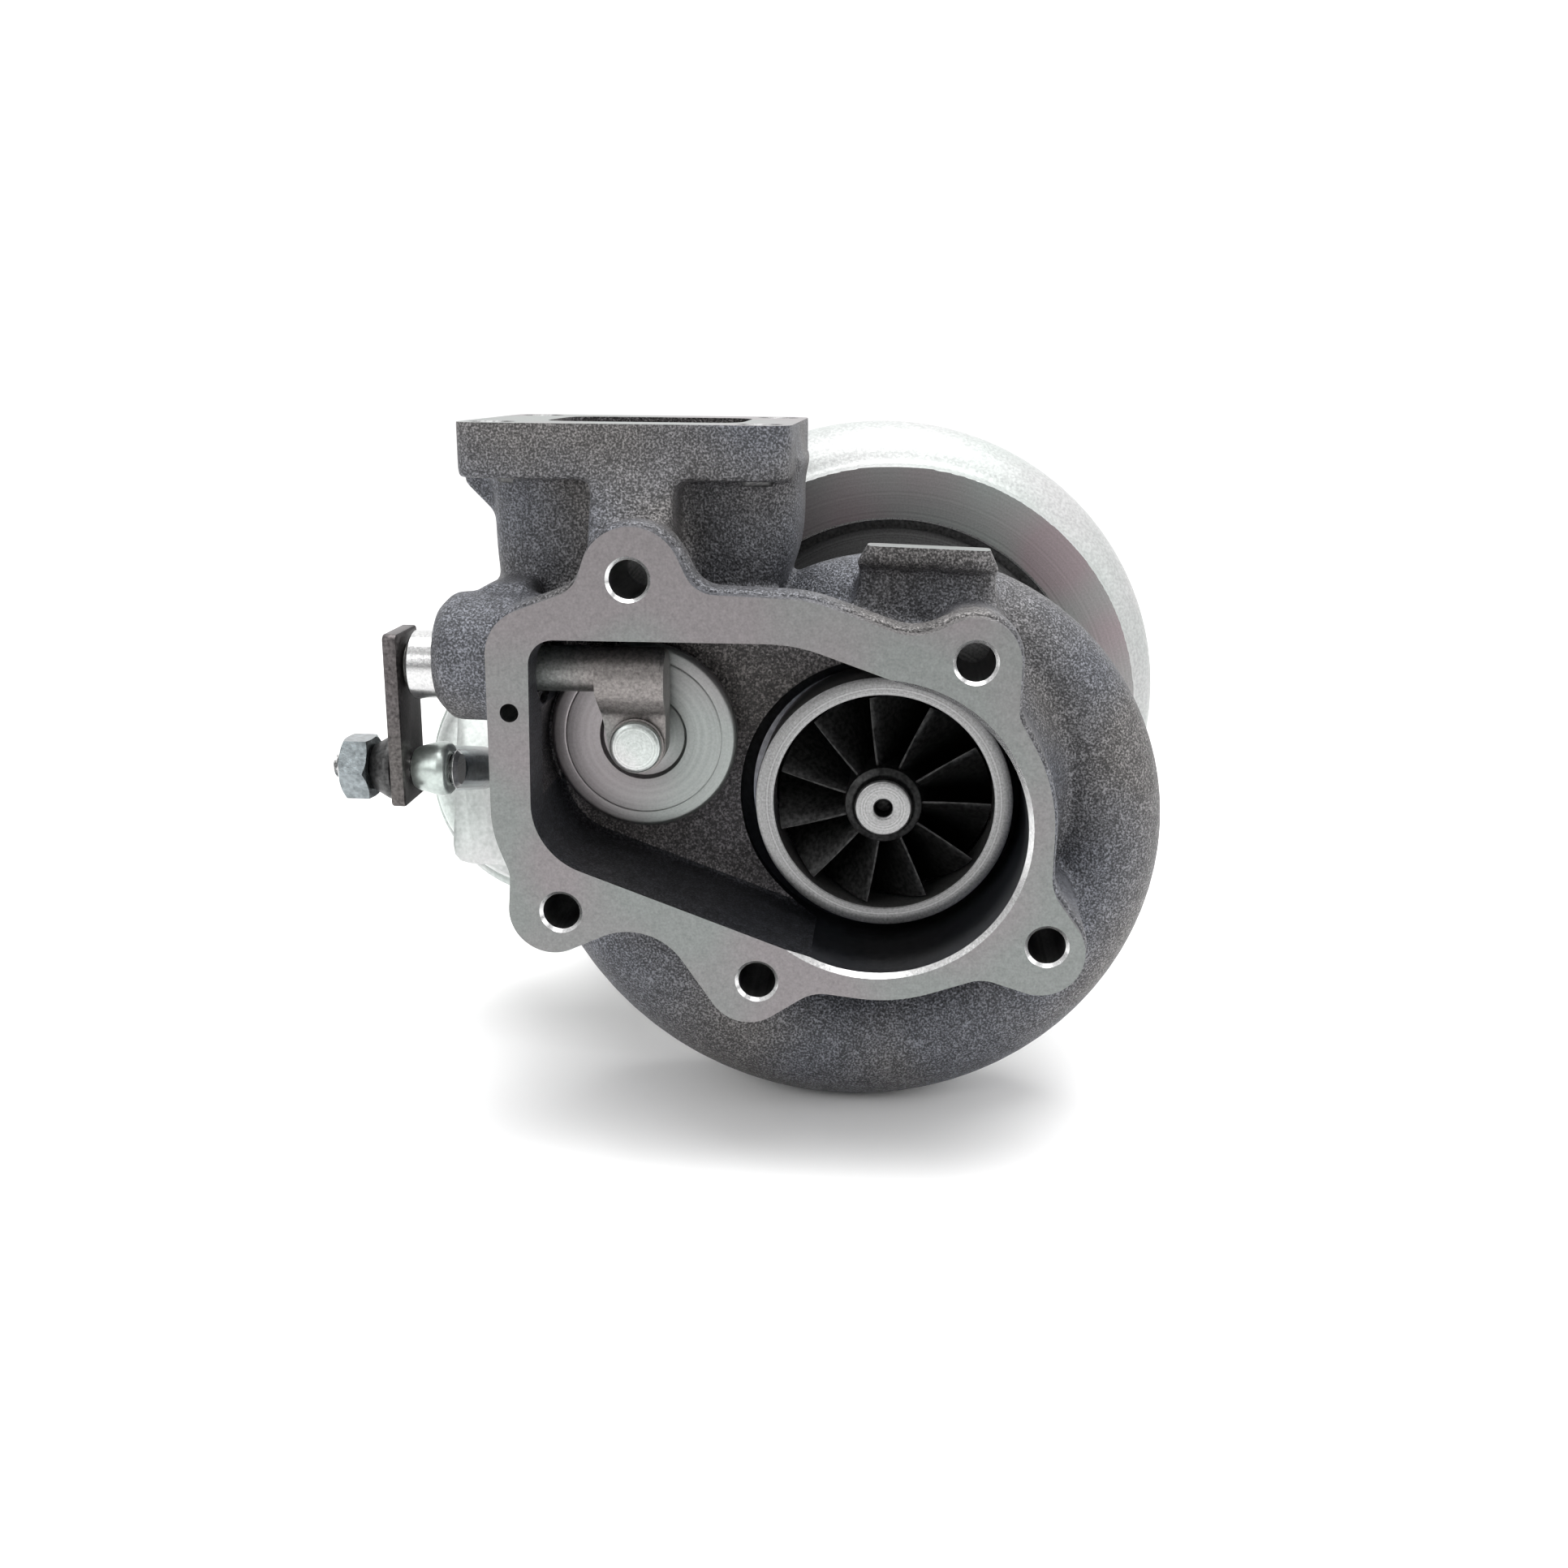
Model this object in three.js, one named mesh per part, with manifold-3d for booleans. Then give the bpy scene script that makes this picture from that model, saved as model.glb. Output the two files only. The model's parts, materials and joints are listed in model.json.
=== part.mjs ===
// Turbocharger with an internal wastegate, built as separate pieces that fit together on a bench.
// Millimetres. X right, Y from the turbine outlet to the compressor inlet, Z up, rotor axis along Y.
// The pieces are laid out about the rotor axis, with y = 0 at the turbine outlet collar,
// and the whole group is then lifted so that its origin is at the centre of the base.
import * as THREE from 'three';
import { mergeVertices } from 'three/addons/utils/BufferGeometryUtils.js';
import Module from 'manifold-3d';

const wasm = await Module();
wasm.setup();

// Driving dimensions
const GAP = 0.3;                  // clearance between touching pieces
const FLOOR_Z = -81.3;            // lowest point of both housings
const COLLAR_BORE_R = 23.8;       // turbine outlet collar
const COLLAR_R = 27.9;
const TURBINE_TIP_R = 26.8;
const OUTLET_FACE_Y = -18;        // turbine outlet flange
const OUTLET_FLANGE_T = 11.5;
const M8_HOLE_R = 3.95;
const POCKET_FLOOR_Y = 10.5;      // floor of the outlet chamber round the collar
const INLET_TOP_Z = 79.4;         // turbine inlet flange
const INLET_FLANGE_T = 11.5;
const INLET_CENTRE = { x: -56.5, y: 31 };
const INLET_HALF = { x: 35.5, y: 31 };
const PORT_HALF = { x: 21.5, y: 17 };
const INLET_BOLT_HALF = { x: 28.5, y: 23.5 };
const SCROLL_Y = 29;              // centre plane of the turbine scroll
const WALL = 4.5;
const VALVE = { x: -53, z: 12.6, r: 20.6, seatY: 9 };
const SHAFT = { y: -3.7, z: 28.9, r: 4.9 };   // wastegate shaft axis, along X
const DISC_DIP = 1.5;
const DISC_SEAT_R = 16.8;
const BACK_CHAMFER = 2.2;
const BUSH_R = 7.35;
const BOSS_END_X = -94;
const LEVER_X = -105.4;           // outer face of the lever
const LEVER_T = 3;
const PIN_Z = 6;                  // lever pin axis, straight below the shaft
const PIN_R = 2.85;
const CAN_CENTRE = new THREE.Vector3(-89.6, 75, -14);
const CAN_R = 34.6;
const COVER_FACE_Y = 92;          // compressor cover's flat back face
const COVER_FACE_R = 66.6;
const COVER_BORE_R = 52.3;
const WHEEL2_R = 30;              // compressor wheel, outer radius
const WHEEL2_BACK_Y = 101.8;
const COVER_END_Y = 152;
const HOSE_R = 25.4;              // compressor outlet, outer radius

const FINISH = {
  castIron: { color: 0x6f6b70, roughness: 0.85, metalness: 0.6 },
  bearingIron: { color: 0x7a7878, roughness: 0.8, metalness: 0.6 },
  castAluminium: { color: 0xc9cccb, roughness: 0.55, metalness: 0.7 },
  darkAlloy: { color: 0x2c2b30, roughness: 0.5, metalness: 0.9 },
  steel: { color: 0xa9a8a6, roughness: 0.35, metalness: 1 },
  darkSteel: { color: 0x4a4745, roughness: 0.55, metalness: 0.9 },
  zinc: { color: 0xc3cac7, roughness: 0.3, metalness: 1 },
  aluminium: { color: 0xd4d6d8, roughness: 0.3, metalness: 1 },
  brass: { color: 0xb08d4c, roughness: 0.4, metalness: 1 },
  rubber: { color: 0x1c1c1c, roughness: 0.9, metalness: 0 },
};

// ---- Solids -------------------------------------------------------------------------------

const rad = THREE.MathUtils.degToRad;
const v2 = (x, y) => new THREE.Vector2(x, y);
const v3 = (x, y, z) => new THREE.Vector3(x, y, z);

function toSolid(geometry) {
  const bare = geometry.clone();
  bare.deleteAttribute('normal');
  bare.deleteAttribute('uv');
  const merged = mergeVertices(bare, 1e-4);
  const make = (triVerts) => new wasm.Manifold(new wasm.Mesh({
    numProp: 3,
    vertProperties: new Float32Array(merged.attributes.position.array),
    triVerts,
  }));
  const triangles = new Uint32Array(merged.index.array);
  const solid = make(triangles);
  // A profile drawn the other way round gives faces that point in: reversing them points them out.
  return solid.volume() > 0 ? solid : make(triangles.reverse());
}

function toGeometry(solid) {
  const mesh = solid.getMesh();
  const geometry = new THREE.BufferGeometry();
  geometry.setAttribute('position', new THREE.BufferAttribute(new Float32Array(mesh.vertProperties), 3));
  geometry.setIndex(new THREE.BufferAttribute(new Uint32Array(mesh.triVerts), 1));
  return geometry;
}

const join = (...solids) => solids.reduce((a, b) => a.add(b));
const cut = (base, ...tools) => tools.reduce((a, b) => a.subtract(b), base);

// A ring or disc about Y, from a closed or axis-to-axis profile of [radius, y] points.
function turned(points, segments = 32) {
  return toSolid(new THREE.LatheGeometry(points.map(([r, y]) => v2(r, y)), segments));
}

// The same about Y, closed on itself for a ring that doesn't reach the axis.
function turnedRing(points, segments = 32) {
  return turned([...points, points[0]], segments);
}

// A round bar between two values along an axis, centred on the other two coordinates.
function bar(axis, radius, from, to, centre, segments = 24) {
  const geometry = new THREE.CylinderGeometry(radius, radius, to - from, segments);
  const middle = (from + to) / 2;
  if (axis === 'x') geometry.rotateZ(-Math.PI / 2).translate(middle, centre[0], centre[1]);
  if (axis === 'y') geometry.translate(centre[0], middle, centre[1]);
  if (axis === 'z') geometry.rotateX(Math.PI / 2).translate(centre[0], centre[1], middle);
  return toSolid(geometry);
}

function block(x0, x1, y0, y1, z0, z1) {
  const geometry = new THREE.BoxGeometry(x1 - x0, y1 - y0, z1 - z0);
  return toSolid(geometry.translate((x0 + x1) / 2, (y0 + y1) / 2, (z0 + z1) / 2));
}

// A plate whose outline lies in X and Z, from y0 to y1.
function plateY(shape, y0, y1, curveSegments = 3) {
  const geometry = new THREE.ExtrudeGeometry(shape, { depth: y1 - y0, bevelEnabled: false, curveSegments });
  return toSolid(geometry.rotateX(Math.PI / 2).translate(0, y1, 0));
}

// A plate whose outline lies in X and Y, from z0 to z1.
function plateZ(shape, z0, z1, curveSegments = 6) {
  const geometry = new THREE.ExtrudeGeometry(shape, { depth: z1 - z0, bevelEnabled: false, curveSegments });
  return toSolid(geometry.translate(0, 0, z0));
}

// A plate whose outline lies in Y and Z, from x0 to x1.
function plateX(shape, x0, x1, curveSegments = 6) {
  const geometry = new THREE.ExtrudeGeometry(shape, { depth: x1 - x0, bevelEnabled: false, curveSegments });
  geometry.applyMatrix4(new THREE.Matrix4().makeBasis(v3(0, 1, 0), v3(0, 0, 1), v3(1, 0, 0)));
  return toSolid(geometry.translate(x0, 0, 0));
}

// A closed skin through rings of equally many points, with flat fans over both ends.
function lofted(rings) {
  const count = rings[0].length;
  const points = rings.flat();
  const centreOf = (ring) => ring.reduce((sum, p) => sum.clone().add(p), v3(0, 0, 0)).divideScalar(count);
  points.push(centreOf(rings[0]), centreOf(rings.at(-1)));
  const index = [];
  for (let ring = 0; ring < rings.length - 1; ring += 1) {
    for (let i = 0; i < count; i += 1) {
      const a = ring * count + i;
      const b = ring * count + (i + 1) % count;
      index.push(a, b, a + count, b, b + count, a + count);
    }
  }
  const last = (rings.length - 1) * count;
  for (let i = 0; i < count; i += 1) {
    const next = (i + 1) % count;
    index.push(next, i, points.length - 2);
    index.push(last + i, last + next, points.length - 1);
  }
  const geometry = new THREE.BufferGeometry().setFromPoints(points);
  geometry.setIndex(index);
  return toSolid(geometry);
}

// The outline of a belt run round a chain of [x, z, radius] circles. A positive radius is an
// outside corner, passed anticlockwise, and a negative one is a hollow, passed clockwise.
function belt(circles) {
  const shape = new THREE.Shape();
  const normals = circles.map(([x, z, r], i) => {
    const [nx, nz, nr] = circles[(i + 1) % circles.length];
    const toNext = Math.atan2(nz - z, nx - x);
    return toNext - Math.acos((r - nr) / Math.hypot(nx - x, nz - z));
  });
  circles.forEach(([x, z, r], i) => {
    const flip = r < 0 ? Math.PI : 0;
    const start = normals.at(i - 1) + flip;
    const end = normals[i] + flip;
    shape.absarc(x, z, Math.abs(r), start, end, r < 0);
  });
  return shape;
}

function roundedBox(cx, cy, hx, hy, r) {
  return belt([
    [cx + hx - r, cy - hy + r, r], [cx + hx - r, cy + hy - r, r],
    [cx - hx + r, cy + hy - r, r], [cx - hx + r, cy - hy + r, r],
  ]);
}

function hexagon(acrossFlats) {
  const radius = acrossFlats / Math.sqrt(3);
  const corner = (i) => v2(radius * Math.cos(rad(60 * i)), radius * Math.sin(rad(60 * i)));
  return new THREE.Shape(Array.from({ length: 6 }, (_, i) => corner(i)));
}

function hexNut(acrossFlats, thickness, boreR) {
  const shape = hexagon(acrossFlats);
  shape.holes.push(new THREE.Path().absarc(0, 0, boreR, 0, 2 * Math.PI, true));
  return plateY(shape, 0, thickness, 6);
}

// A hexagon bolt along Y: its head starts at y = 0 and its shank runs to y = length.
function hexBolt(acrossFlats, headT, shankR, length) {
  return join(plateY(hexagon(acrossFlats), 0, headT), bar('y', shankR, headT - 0.5, length, [0, 0], 8));
}

// ---- Assembly helpers ---------------------------------------------------------------------

const turbo = new THREE.Group();

function add(name, solid, finish, parent = turbo) {
  const mesh = new THREE.Mesh(toGeometry(solid), new THREE.MeshStandardMaterial(FINISH[finish]));
  mesh.name = name;
  parent.add(mesh);
  return mesh;
}

// ---- Turbine scroll -----------------------------------------------------------------------

// The scroll starts under the inlet duct on the left, runs down, right and over the top, and
// gets smaller all the way. Its travel is in degrees from the left-hand side.
const SCROLL = { startR: 86, endR: 51, endTravel: 270, lastTravel: 315 };

function scrollOuterR(travel) {
  const share = THREE.MathUtils.clamp((travel - 30) / (SCROLL.endTravel - 20), 0, 1);
  return SCROLL.endR + (SCROLL.startR - SCROLL.endR) * (1 + Math.cos(Math.PI * share)) / 2;
}

const scrollTubeR = (travel) => 20.5 - 9 * Math.min(travel / SCROLL.endTravel, 1.15);

function scrollRing(travel, shrink, sides) {
  const tube = scrollTubeR(travel);
  const centre = scrollOuterR(travel) - tube;
  const angle = rad(180 + travel);
  return Array.from({ length: sides }, (_, i) => {
    const turn = 2 * Math.PI * i / sides;
    const r = centre + (tube - shrink) * Math.cos(turn);
    return v3(r * Math.cos(angle), SCROLL_Y + (tube - shrink) * Math.sin(turn), r * Math.sin(angle));
  });
}

function scroll(shrink, last, step, sides) {
  const rings = [];
  for (let travel = 0; travel <= last; travel += step) rings.push(scrollRing(travel, shrink, sides));
  return lofted(rings);
}

// A ring of the duct at height z: a soft rectangle of power n that becomes a circle at n = 2.
function ductRing(cx, cy, hx, hy, n, z, sides) {
  const soft = (value) => Math.sign(value) * Math.abs(value) ** (2 / n);
  return Array.from({ length: sides }, (_, i) => {
    const turn = 2 * Math.PI * (i + 0.5) / sides;
    return v3(cx + hx * soft(Math.cos(turn)), cy + hy * soft(Math.sin(turn)), z);
  });
}

function inletDuct() {
  const startX = -(SCROLL.startR - scrollTubeR(0));
  const startR = scrollTubeR(0);
  return lofted([
    ductRing(-54.4, 31.5, 33.9, 21.5, 5, INLET_TOP_Z - 4, 16),
    ductRing(-54.9, 31.5, 33.4, 21.5, 5, 50, 16),
    ductRing(-60, 31, 26, 20.5, 3, 26, 16),
    ductRing(startX, SCROLL_Y, startR, startR, 2, -2, 16),
  ]);
}

function inletPassage() {
  const startX = -(SCROLL.startR - scrollTubeR(0));
  const startR = scrollTubeR(0) - WALL;
  return lofted([
    ductRing(INLET_CENTRE.x + 2, INLET_CENTRE.y, PORT_HALF.x, PORT_HALF.y, 6, INLET_TOP_Z + 2, 12),
    ductRing(INLET_CENTRE.x + 2, INLET_CENTRE.y, PORT_HALF.x, PORT_HALF.y, 6, INLET_TOP_Z - 12, 12),
    ductRing(startX + 3, SCROLL_Y + 2, startR + 1, startR, 3, 28, 12),
    ductRing(startX, SCROLL_Y, startR, startR, 2, -0.5, 12),
  ]);
}

// ---- Turbine outlet flange ----------------------------------------------------------------

const EARS = {
  top: [-51.9, 49.8], right: [17.8, 34.7], lowRight: [34.9, -24.8], low: [-25.7, -35], lowLeft: [-67.5, -21],
};

// Outside corners are ears and shoulders, and the hollows between them are the waists.
const FLANGE_OUTLINE = [
  [-51.3, 50, 10.3], [-68.5, 53, -7], [-71.5, 33.6, 10.1], [-57.3, 1, 24.4], [-84.5, -13.8, -6.3],
  [-69.4, -20.9, 9.3], [-53, -38.5, -13.6], [-27.6, -35.5, 9], [-11.5, -46, -8.7], [-0.5, -3, 35.2],
  [21.9, -41.5, -8.6], [33.6, -26.4, 9.3], [45.2, -9.5, -10], [-0.8, -0.5, 36], [33, 25.2, -6.2],
  [17.8, 34.5, 9.1], [5, 51.5, -11.6], [-20.5, 20, 26.6], [-34.3, 53.8, -6.7],
];

// The chamber opening: two corners on the left, the round bowl on the right, and a long top arc.
const BOWL = [-1.1, -1.3, 31];
const CHAMBER_OUTLINE = [[-67.4, 32, 5.3], [-58, 2.5, 15.2], BOWL, [-24, 4, 33.5]];
const grown = (outline, by) => outline.map(([x, z, r]) => [x, z, r + by]);

function outletFlange() {
  const back = OUTLET_FACE_Y + OUTLET_FLANGE_T;
  const bosses = Object.values(EARS).map(([x, z]) => bar('y', 8, back - 1, SCROLL_Y - 13, [x, z], 8));
  return join(plateY(belt(FLANGE_OUTLINE), OUTLET_FACE_Y, back), ...bosses);
}

function outletHoles() {
  const holes = Object.values(EARS).map((at) => bar('y', M8_HOLE_R, OUTLET_FACE_Y - 1, 4, at, 10));
  return [...holes, bar('y', 1.95, OUTLET_FACE_Y - 1, -8, [-77, 22], 12)];
}

// ---- Turbine housing ----------------------------------------------------------------------

function inletFlange() {
  const shape = roundedBox(INLET_CENTRE.x, INLET_CENTRE.y, INLET_HALF.x, INLET_HALF.y, 5);
  return plateZ(shape, INLET_TOP_Z - INLET_FLANGE_T, INLET_TOP_Z, 3);
}

function inletHoles() {
  const holes = [];
  for (const sx of [-1, 1]) {
    for (const sy of [-1, 1]) {
      const centre = [INLET_CENTRE.x + sx * INLET_BOLT_HALF.x, INLET_CENTRE.y + sy * INLET_BOLT_HALF.y];
      holes.push(bar('z', 4.3, INLET_TOP_Z - INLET_FLANGE_T - 1, INLET_TOP_Z + 1, centre, 10));
    }
  }
  return holes;
}

// The rib up the front of the neck, and the gusset under the flange on the left.
function neckRibs() {
  const front = new THREE.Shape([v2(-1, 70), v2(22, 70), v2(22, 40), v2(-6.5, 40), v2(-6.5, 56)]);
  const left = new THREE.Shape([v2(-93, 69), v2(-93, 66), v2(-88, 60), v2(-80, 54), v2(-80, 69)]);
  return [plateX(front, -62.5, -45), plateY(left, 18, 43)];
}

// The boss the wastegate bushing is pressed into, and the shoulder that ties it to the neck.
function shaftBoss() {
  const shoulder = new THREE.Shape([
    v2(-85, 46.5), v2(-87, 44.5), v2(-90, 43.6), v2(-90, 34), v2(-76, 34), v2(-76, 46.5),
  ]);
  return [bar('x', 13.5, BOSS_END_X, -70, [SHAFT.y, SHAFT.z + 2.2], 14), plateY(shoulder, -3, 24)];
}

// A ledge on top of the housing, with its support set back under it.
function topPad() {
  const ledge = new THREE.Shape([v2(-7.6, 50.2), v2(23.4, 49.2), v2(20.4, 54), v2(-4.2, 54.6)]);
  const support = new THREE.Shape([v2(-9, 36), v2(25, 34), v2(22, 51), v2(-6, 51.6)]);
  return [plateY(ledge, 7.5, 13.5), plateY(support, 10.5, 20)];
}

function turbineHousing() {
  const hub = turned([[0, 1], [34, 1], [40, 14], [49.5, 30], [49.5, 42], [0, 42]], 24);
  const chamber = plateY(belt(grown(CHAMBER_OUTLINE, 6.5)), OUTLET_FACE_Y + 4, POCKET_FLOOR_Y + 6);
  const body = join(
    scroll(0, SCROLL.lastTravel, 22.5, 12), inletDuct(), inletFlange(), hub, chamber,
    outletFlange(), ...neckRibs(), ...shaftBoss(), ...topPad(),
  );
  const collar = turnedRing([[COLLAR_BORE_R, 0], [COLLAR_R, 0], [COLLAR_R, 20], [COLLAR_BORE_R, 20]], 28);
  const hollow = plateY(belt(CHAMBER_OUTLINE), OUTLET_FACE_Y - 1, POCKET_FLOOR_Y);
  const bowl = bar('y', BOWL[2], OUTLET_FACE_Y, POCKET_FLOOR_Y + 5, [BOWL[0], BOWL[1]], 24);
  const seatPad = bar('y', 19, VALVE.seatY, POCKET_FLOOR_Y + 2, [VALVE.x, VALVE.z], 16);
  // The disc dips as it swings open, so its room is cut a little lower than the seat.
  const discRoom = bar('y', VALVE.r + 1.6, -7, VALVE.seatY, [VALVE.x, VALVE.z - DISC_DIP], 18);
  const shell = cut(join(cut(body, hollow, bowl, discRoom), seatPad, collar));
  const gasPort = bar('y', 14.5, VALVE.seatY - 1, SCROLL_Y, [VALVE.x, VALVE.z], 20);
  const wheelRoom = turned([
    [0, -2], [COLLAR_BORE_R, -2], [COLLAR_BORE_R, 8], [24.6, 14], [25.8, 18], [27.6, 21.4],
    [44, 21.4], [44, 28.8], [34, 28.8], [34, 36], [36.2, 36], [36.2, 43], [0, 43],
  ], 28);
  const clampRoom = bar('y', 50.5, 42, 60, [0, 0], 28);
  const bushBore = bar('x', BUSH_R + GAP, -99, -70, [SHAFT.y, SHAFT.z], 16);
  return cut(
    shell, scroll(WALL, 292.5, 22.5, 8), inletPassage(), gasPort, wheelRoom, clampRoom, bushBore,
    ...outletHoles(), ...inletHoles(), ...CLAMP_ANGLES.map((angle) => clampBoltHole(angle)),
  );
}

// Clamp plates hold the centre housing in the back of the turbine housing.
const CLAMP_ANGLES = [-35, 35, 145, 215];
const CLAMP_BOLT_R = 43;
const clampPoint = (angle) => [CLAMP_BOLT_R * Math.cos(rad(angle)), CLAMP_BOLT_R * Math.sin(rad(angle))];
const clampBoltHole = (angle) => bar('y', 3 + GAP, 33, 43, clampPoint(angle), 8);

function clampPlate(middle) {
  const shape = new THREE.Shape();
  shape.absarc(0, 0, 48, rad(middle - 50), rad(middle + 50), false);
  shape.absarc(0, 0, 32.5, rad(middle + 50), rad(middle - 50), true);
  const holes = [middle - 35, middle + 35].map((angle) => bar('y', 3 + GAP, 42, 46, clampPoint(angle), 8));
  return cut(plateY(shape, 42.3, 45.3, 6), ...holes);
}

function turbineSide() {
  add('turbine_housing', turbineHousing(), 'castIron');
  add('turbine_clamp_plate_right', clampPlate(0), 'darkSteel');
  add('turbine_clamp_plate_left', clampPlate(180), 'darkSteel');
  CLAMP_ANGLES.forEach((angle, i) => {
    const bolt = add(`turbine_bolt_${i + 1}`, hexBolt(10, 5, 3, 16), 'darkSteel');
    const [x, z] = clampPoint(angle);
    bolt.position.set(x, 50.6, z);
    bolt.rotation.z = Math.PI;
  });
  const shroud = [
    [9.4, 31.4], [24, 31.4], [33.6, 33.6], [33.6, 36], [32.4, 36], [32.4, 34.4], [23.8, 32.4], [9.4, 32.4],
  ];
  add('heat_shroud', turnedRing(shroud, 24), 'steel');
}

// ---- Rotor --------------------------------------------------------------------------------

// One wheel blade between a hub line and a tip line of [radius, y] points; lean(y) in degrees.
function blade(hubLine, tipLine, lean, rootT, tipT) {
  const at = ([r, y], side, thickness) => {
    const angle = rad(lean(y)) + side * thickness / 2 / r;
    return v3(r * Math.sin(angle), y, r * Math.cos(angle));
  };
  const rings = hubLine.map((hub, i) => {
    const tip = tipLine[i];
    return [at(hub, -1, rootT), at(tip, -1, tipT), at(tip, 1, tipT), at(hub, 1, rootT)];
  });
  return lofted(rings);
}

function turnedCopy(solid, degrees) {
  return solid.rotate([0, degrees, 0]);
}

const TURBINE_BLADES = 11;

function turbineWheel() {
  const hub = turned([
    [0, 1], [1.9, 0.5], [1.9, -4], [6, -4], [6.6, -1.6], [8.3, -1], [9.6, 10], [13, 18], [18.5, 24],
    [26.3, 28], [26.3, 29.6], [8.2, 30.4], [8.2, 39.4], [7, 39.4], [7, 41.2], [8.2, 41.2], [8.2, 44], [0, 44],
  ], 22);
  const hubLine = [[26, 28.6], [18, 24.4], [12, 18], [8.4, 9], [7.4, 0.6]];
  const tipLine = [[TURBINE_TIP_R, 22.2], [25.1, 18.4], [23.9, 14], [23.2, 8], [23.2, 1.2]];
  const lean = (y) => -42 * Math.max(0, (21 - y) / 20) ** 1.5;
  const first = blade(hubLine, tipLine, lean, 1.8, 0.9);
  const blades = Array.from({ length: TURBINE_BLADES }, (_, i) => turnedCopy(first, 360 * i / TURBINE_BLADES));
  return join(hub, ...blades);
}

const COMPRESSOR_BLADES = 6;

function compressorWheel() {
  const hub = turned([
    [4.2, WHEEL2_BACK_Y], [WHEEL2_R, WHEEL2_BACK_Y], [WHEEL2_R, 102.8], [22, 104.6], [14.5, 109],
    [10, 116], [7.6, 126.8], [4.2, 126.8], [4.2, WHEEL2_BACK_Y],
  ], 18);
  const hubLine = [[29.7, 102.4], [21.6, 104.2], [14, 108.6], [9.4, 116], [7.6, 123.6]];
  const tipLine = [[WHEEL2_R, 105.2], [26.4, 107.6], [24.3, 111], [23.5, 116.5], [23.5, 123]];
  const lean = (y) => 40 * ((y - 102) / 21) ** 1.4 - 18 * Math.max(0, (108 - y) / 6);
  const full = blade(hubLine, tipLine, lean, 1.3, 0.7);
  const splitter = blade(hubLine.slice(0, 4), tipLine.slice(0, 4), lean, 1.3, 0.7);
  const blades = [];
  for (let i = 0; i < COMPRESSOR_BLADES; i += 1) {
    blades.push(turnedCopy(full, 60 * i), turnedCopy(splitter, 60 * i + 30));
  }
  return join(hub, ...blades);
}

// A split ring that sits in a groove: its gap is at the top.
function splitRing(inner, outer, y0, y1, gapDegrees, segments) {
  const shape = new THREE.Shape();
  const start = rad(90 + gapDegrees / 2);
  const end = rad(450 - gapDegrees / 2);
  shape.absarc(0, 0, outer, start, end, false);
  shape.absarc(0, 0, inner, end, start, true);
  return plateY(shape, y0, y1, segments);
}

function rotor() {
  add('turbine_wheel', turbineWheel(), 'darkAlloy');
  const shaft = [[0, 44.3], [4, 44.3], [4, 90], [3.9, 90], [3.9, 136], [3.3, 137], [0, 137]];
  add('rotor_shaft', turned(shaft, 16), 'steel');
  const collar = [[4.3, 79.6], [10, 79.6], [10, 82.3], [5.6, 82.3], [5.6, 87.6], [4.3, 87.6]];
  add('thrust_collar', turnedRing(collar, 18), 'steel');
  const flinger = [
    [4.2, 88], [10, 88], [10, 90], [7.6, 90.4], [7.6, 95.8], [6.5, 95.8], [6.5, 97.7], [7.6, 97.7],
    [7.6, 101.4], [4.2, 101.4],
  ];
  add('oil_flinger', turnedRing(flinger, 18), 'steel');
  add('compressor_wheel', compressorWheel(), 'aluminium');
  const nut = add('shaft_nut', hexNut(11, 5.5, 4.2), 'darkSteel');
  nut.position.y = 127.1;
}

// ---- Centre housing -----------------------------------------------------------------------

const SCREW_ANGLES = [45, 135, 225, 315];
const SCREW_R = 29.5;
const screwPoint = (angle) => [SCREW_R * Math.cos(rad(angle)), SCREW_R * Math.sin(rad(angle))];
const OIL_Y = 62;

function centerHousing() {
  const barrel = turned([
    [0, 36.5], [35.8, 36.5], [35.8, 41.6], [26, 42.4], [22.5, 50], [22.5, 78], [36.5, 88],
    [36.5, 95.2], [0, 95.2],
  ], 24);
  const oilPad = plateZ(roundedBox(0, OIL_Y, 19, 11, 6), 10, 36, 2);
  const drainPad = plateZ(roundedBox(0, OIL_Y, 24, 13, 8), -37, -8, 2);
  const waterPorts = bar('x', 11, -33, 33, [OIL_Y + 1, 4], 14);
  const bores = turned([
    [0, 36], [8.6, 36], [8.6, 45.5], [9.3, 45.5], [9.3, 78], [11, 78], [11, 82.6], [18.3, 82.6],
    [18.3, 96], [0, 96],
  ], 16);
  const holes = [
    bar('z', 3.4, 0, 37, [0, OIL_Y], 10), bar('z', 9, -38, -2, [0, OIL_Y], 14),
    bar('x', 6.2, -34, -15.5, [OIL_Y + 1, 4], 12), bar('x', 6.2, 15.5, 34, [OIL_Y + 1, 4], 12),
  ];
  for (const side of [-1, 1]) {
    holes.push(bar('z', 2.5, 26, 37, [side * 13, OIL_Y], 8), bar('z', 3.3, -38, -26, [side * 18, OIL_Y], 8));
  }
  const screws = SCREW_ANGLES.map((angle) => bar('y', 2.5 + GAP, 80, 96, screwPoint(angle), 8));
  const spotFaces = SCREW_ANGLES.map((angle) => bar('y', 5.4, 80, 88.6, screwPoint(angle), 10));
  return cut(join(barrel, oilPad, drainPad, waterPorts), bores, ...holes, ...screws, ...spotFaces);
}

function sealPlate() {
  const plate = turnedRing([
    [8, 95.5], [52, 95.5], [52, 97], [49.8, 97], [49.8, 99.4], [52, 99.4], [52, 101.3], [8, 101.3],
  ], 32);
  return cut(plate, ...SCREW_ANGLES.map((angle) => bar('y', 2.5 + GAP, 95, 100, screwPoint(angle), 8)));
}

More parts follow.
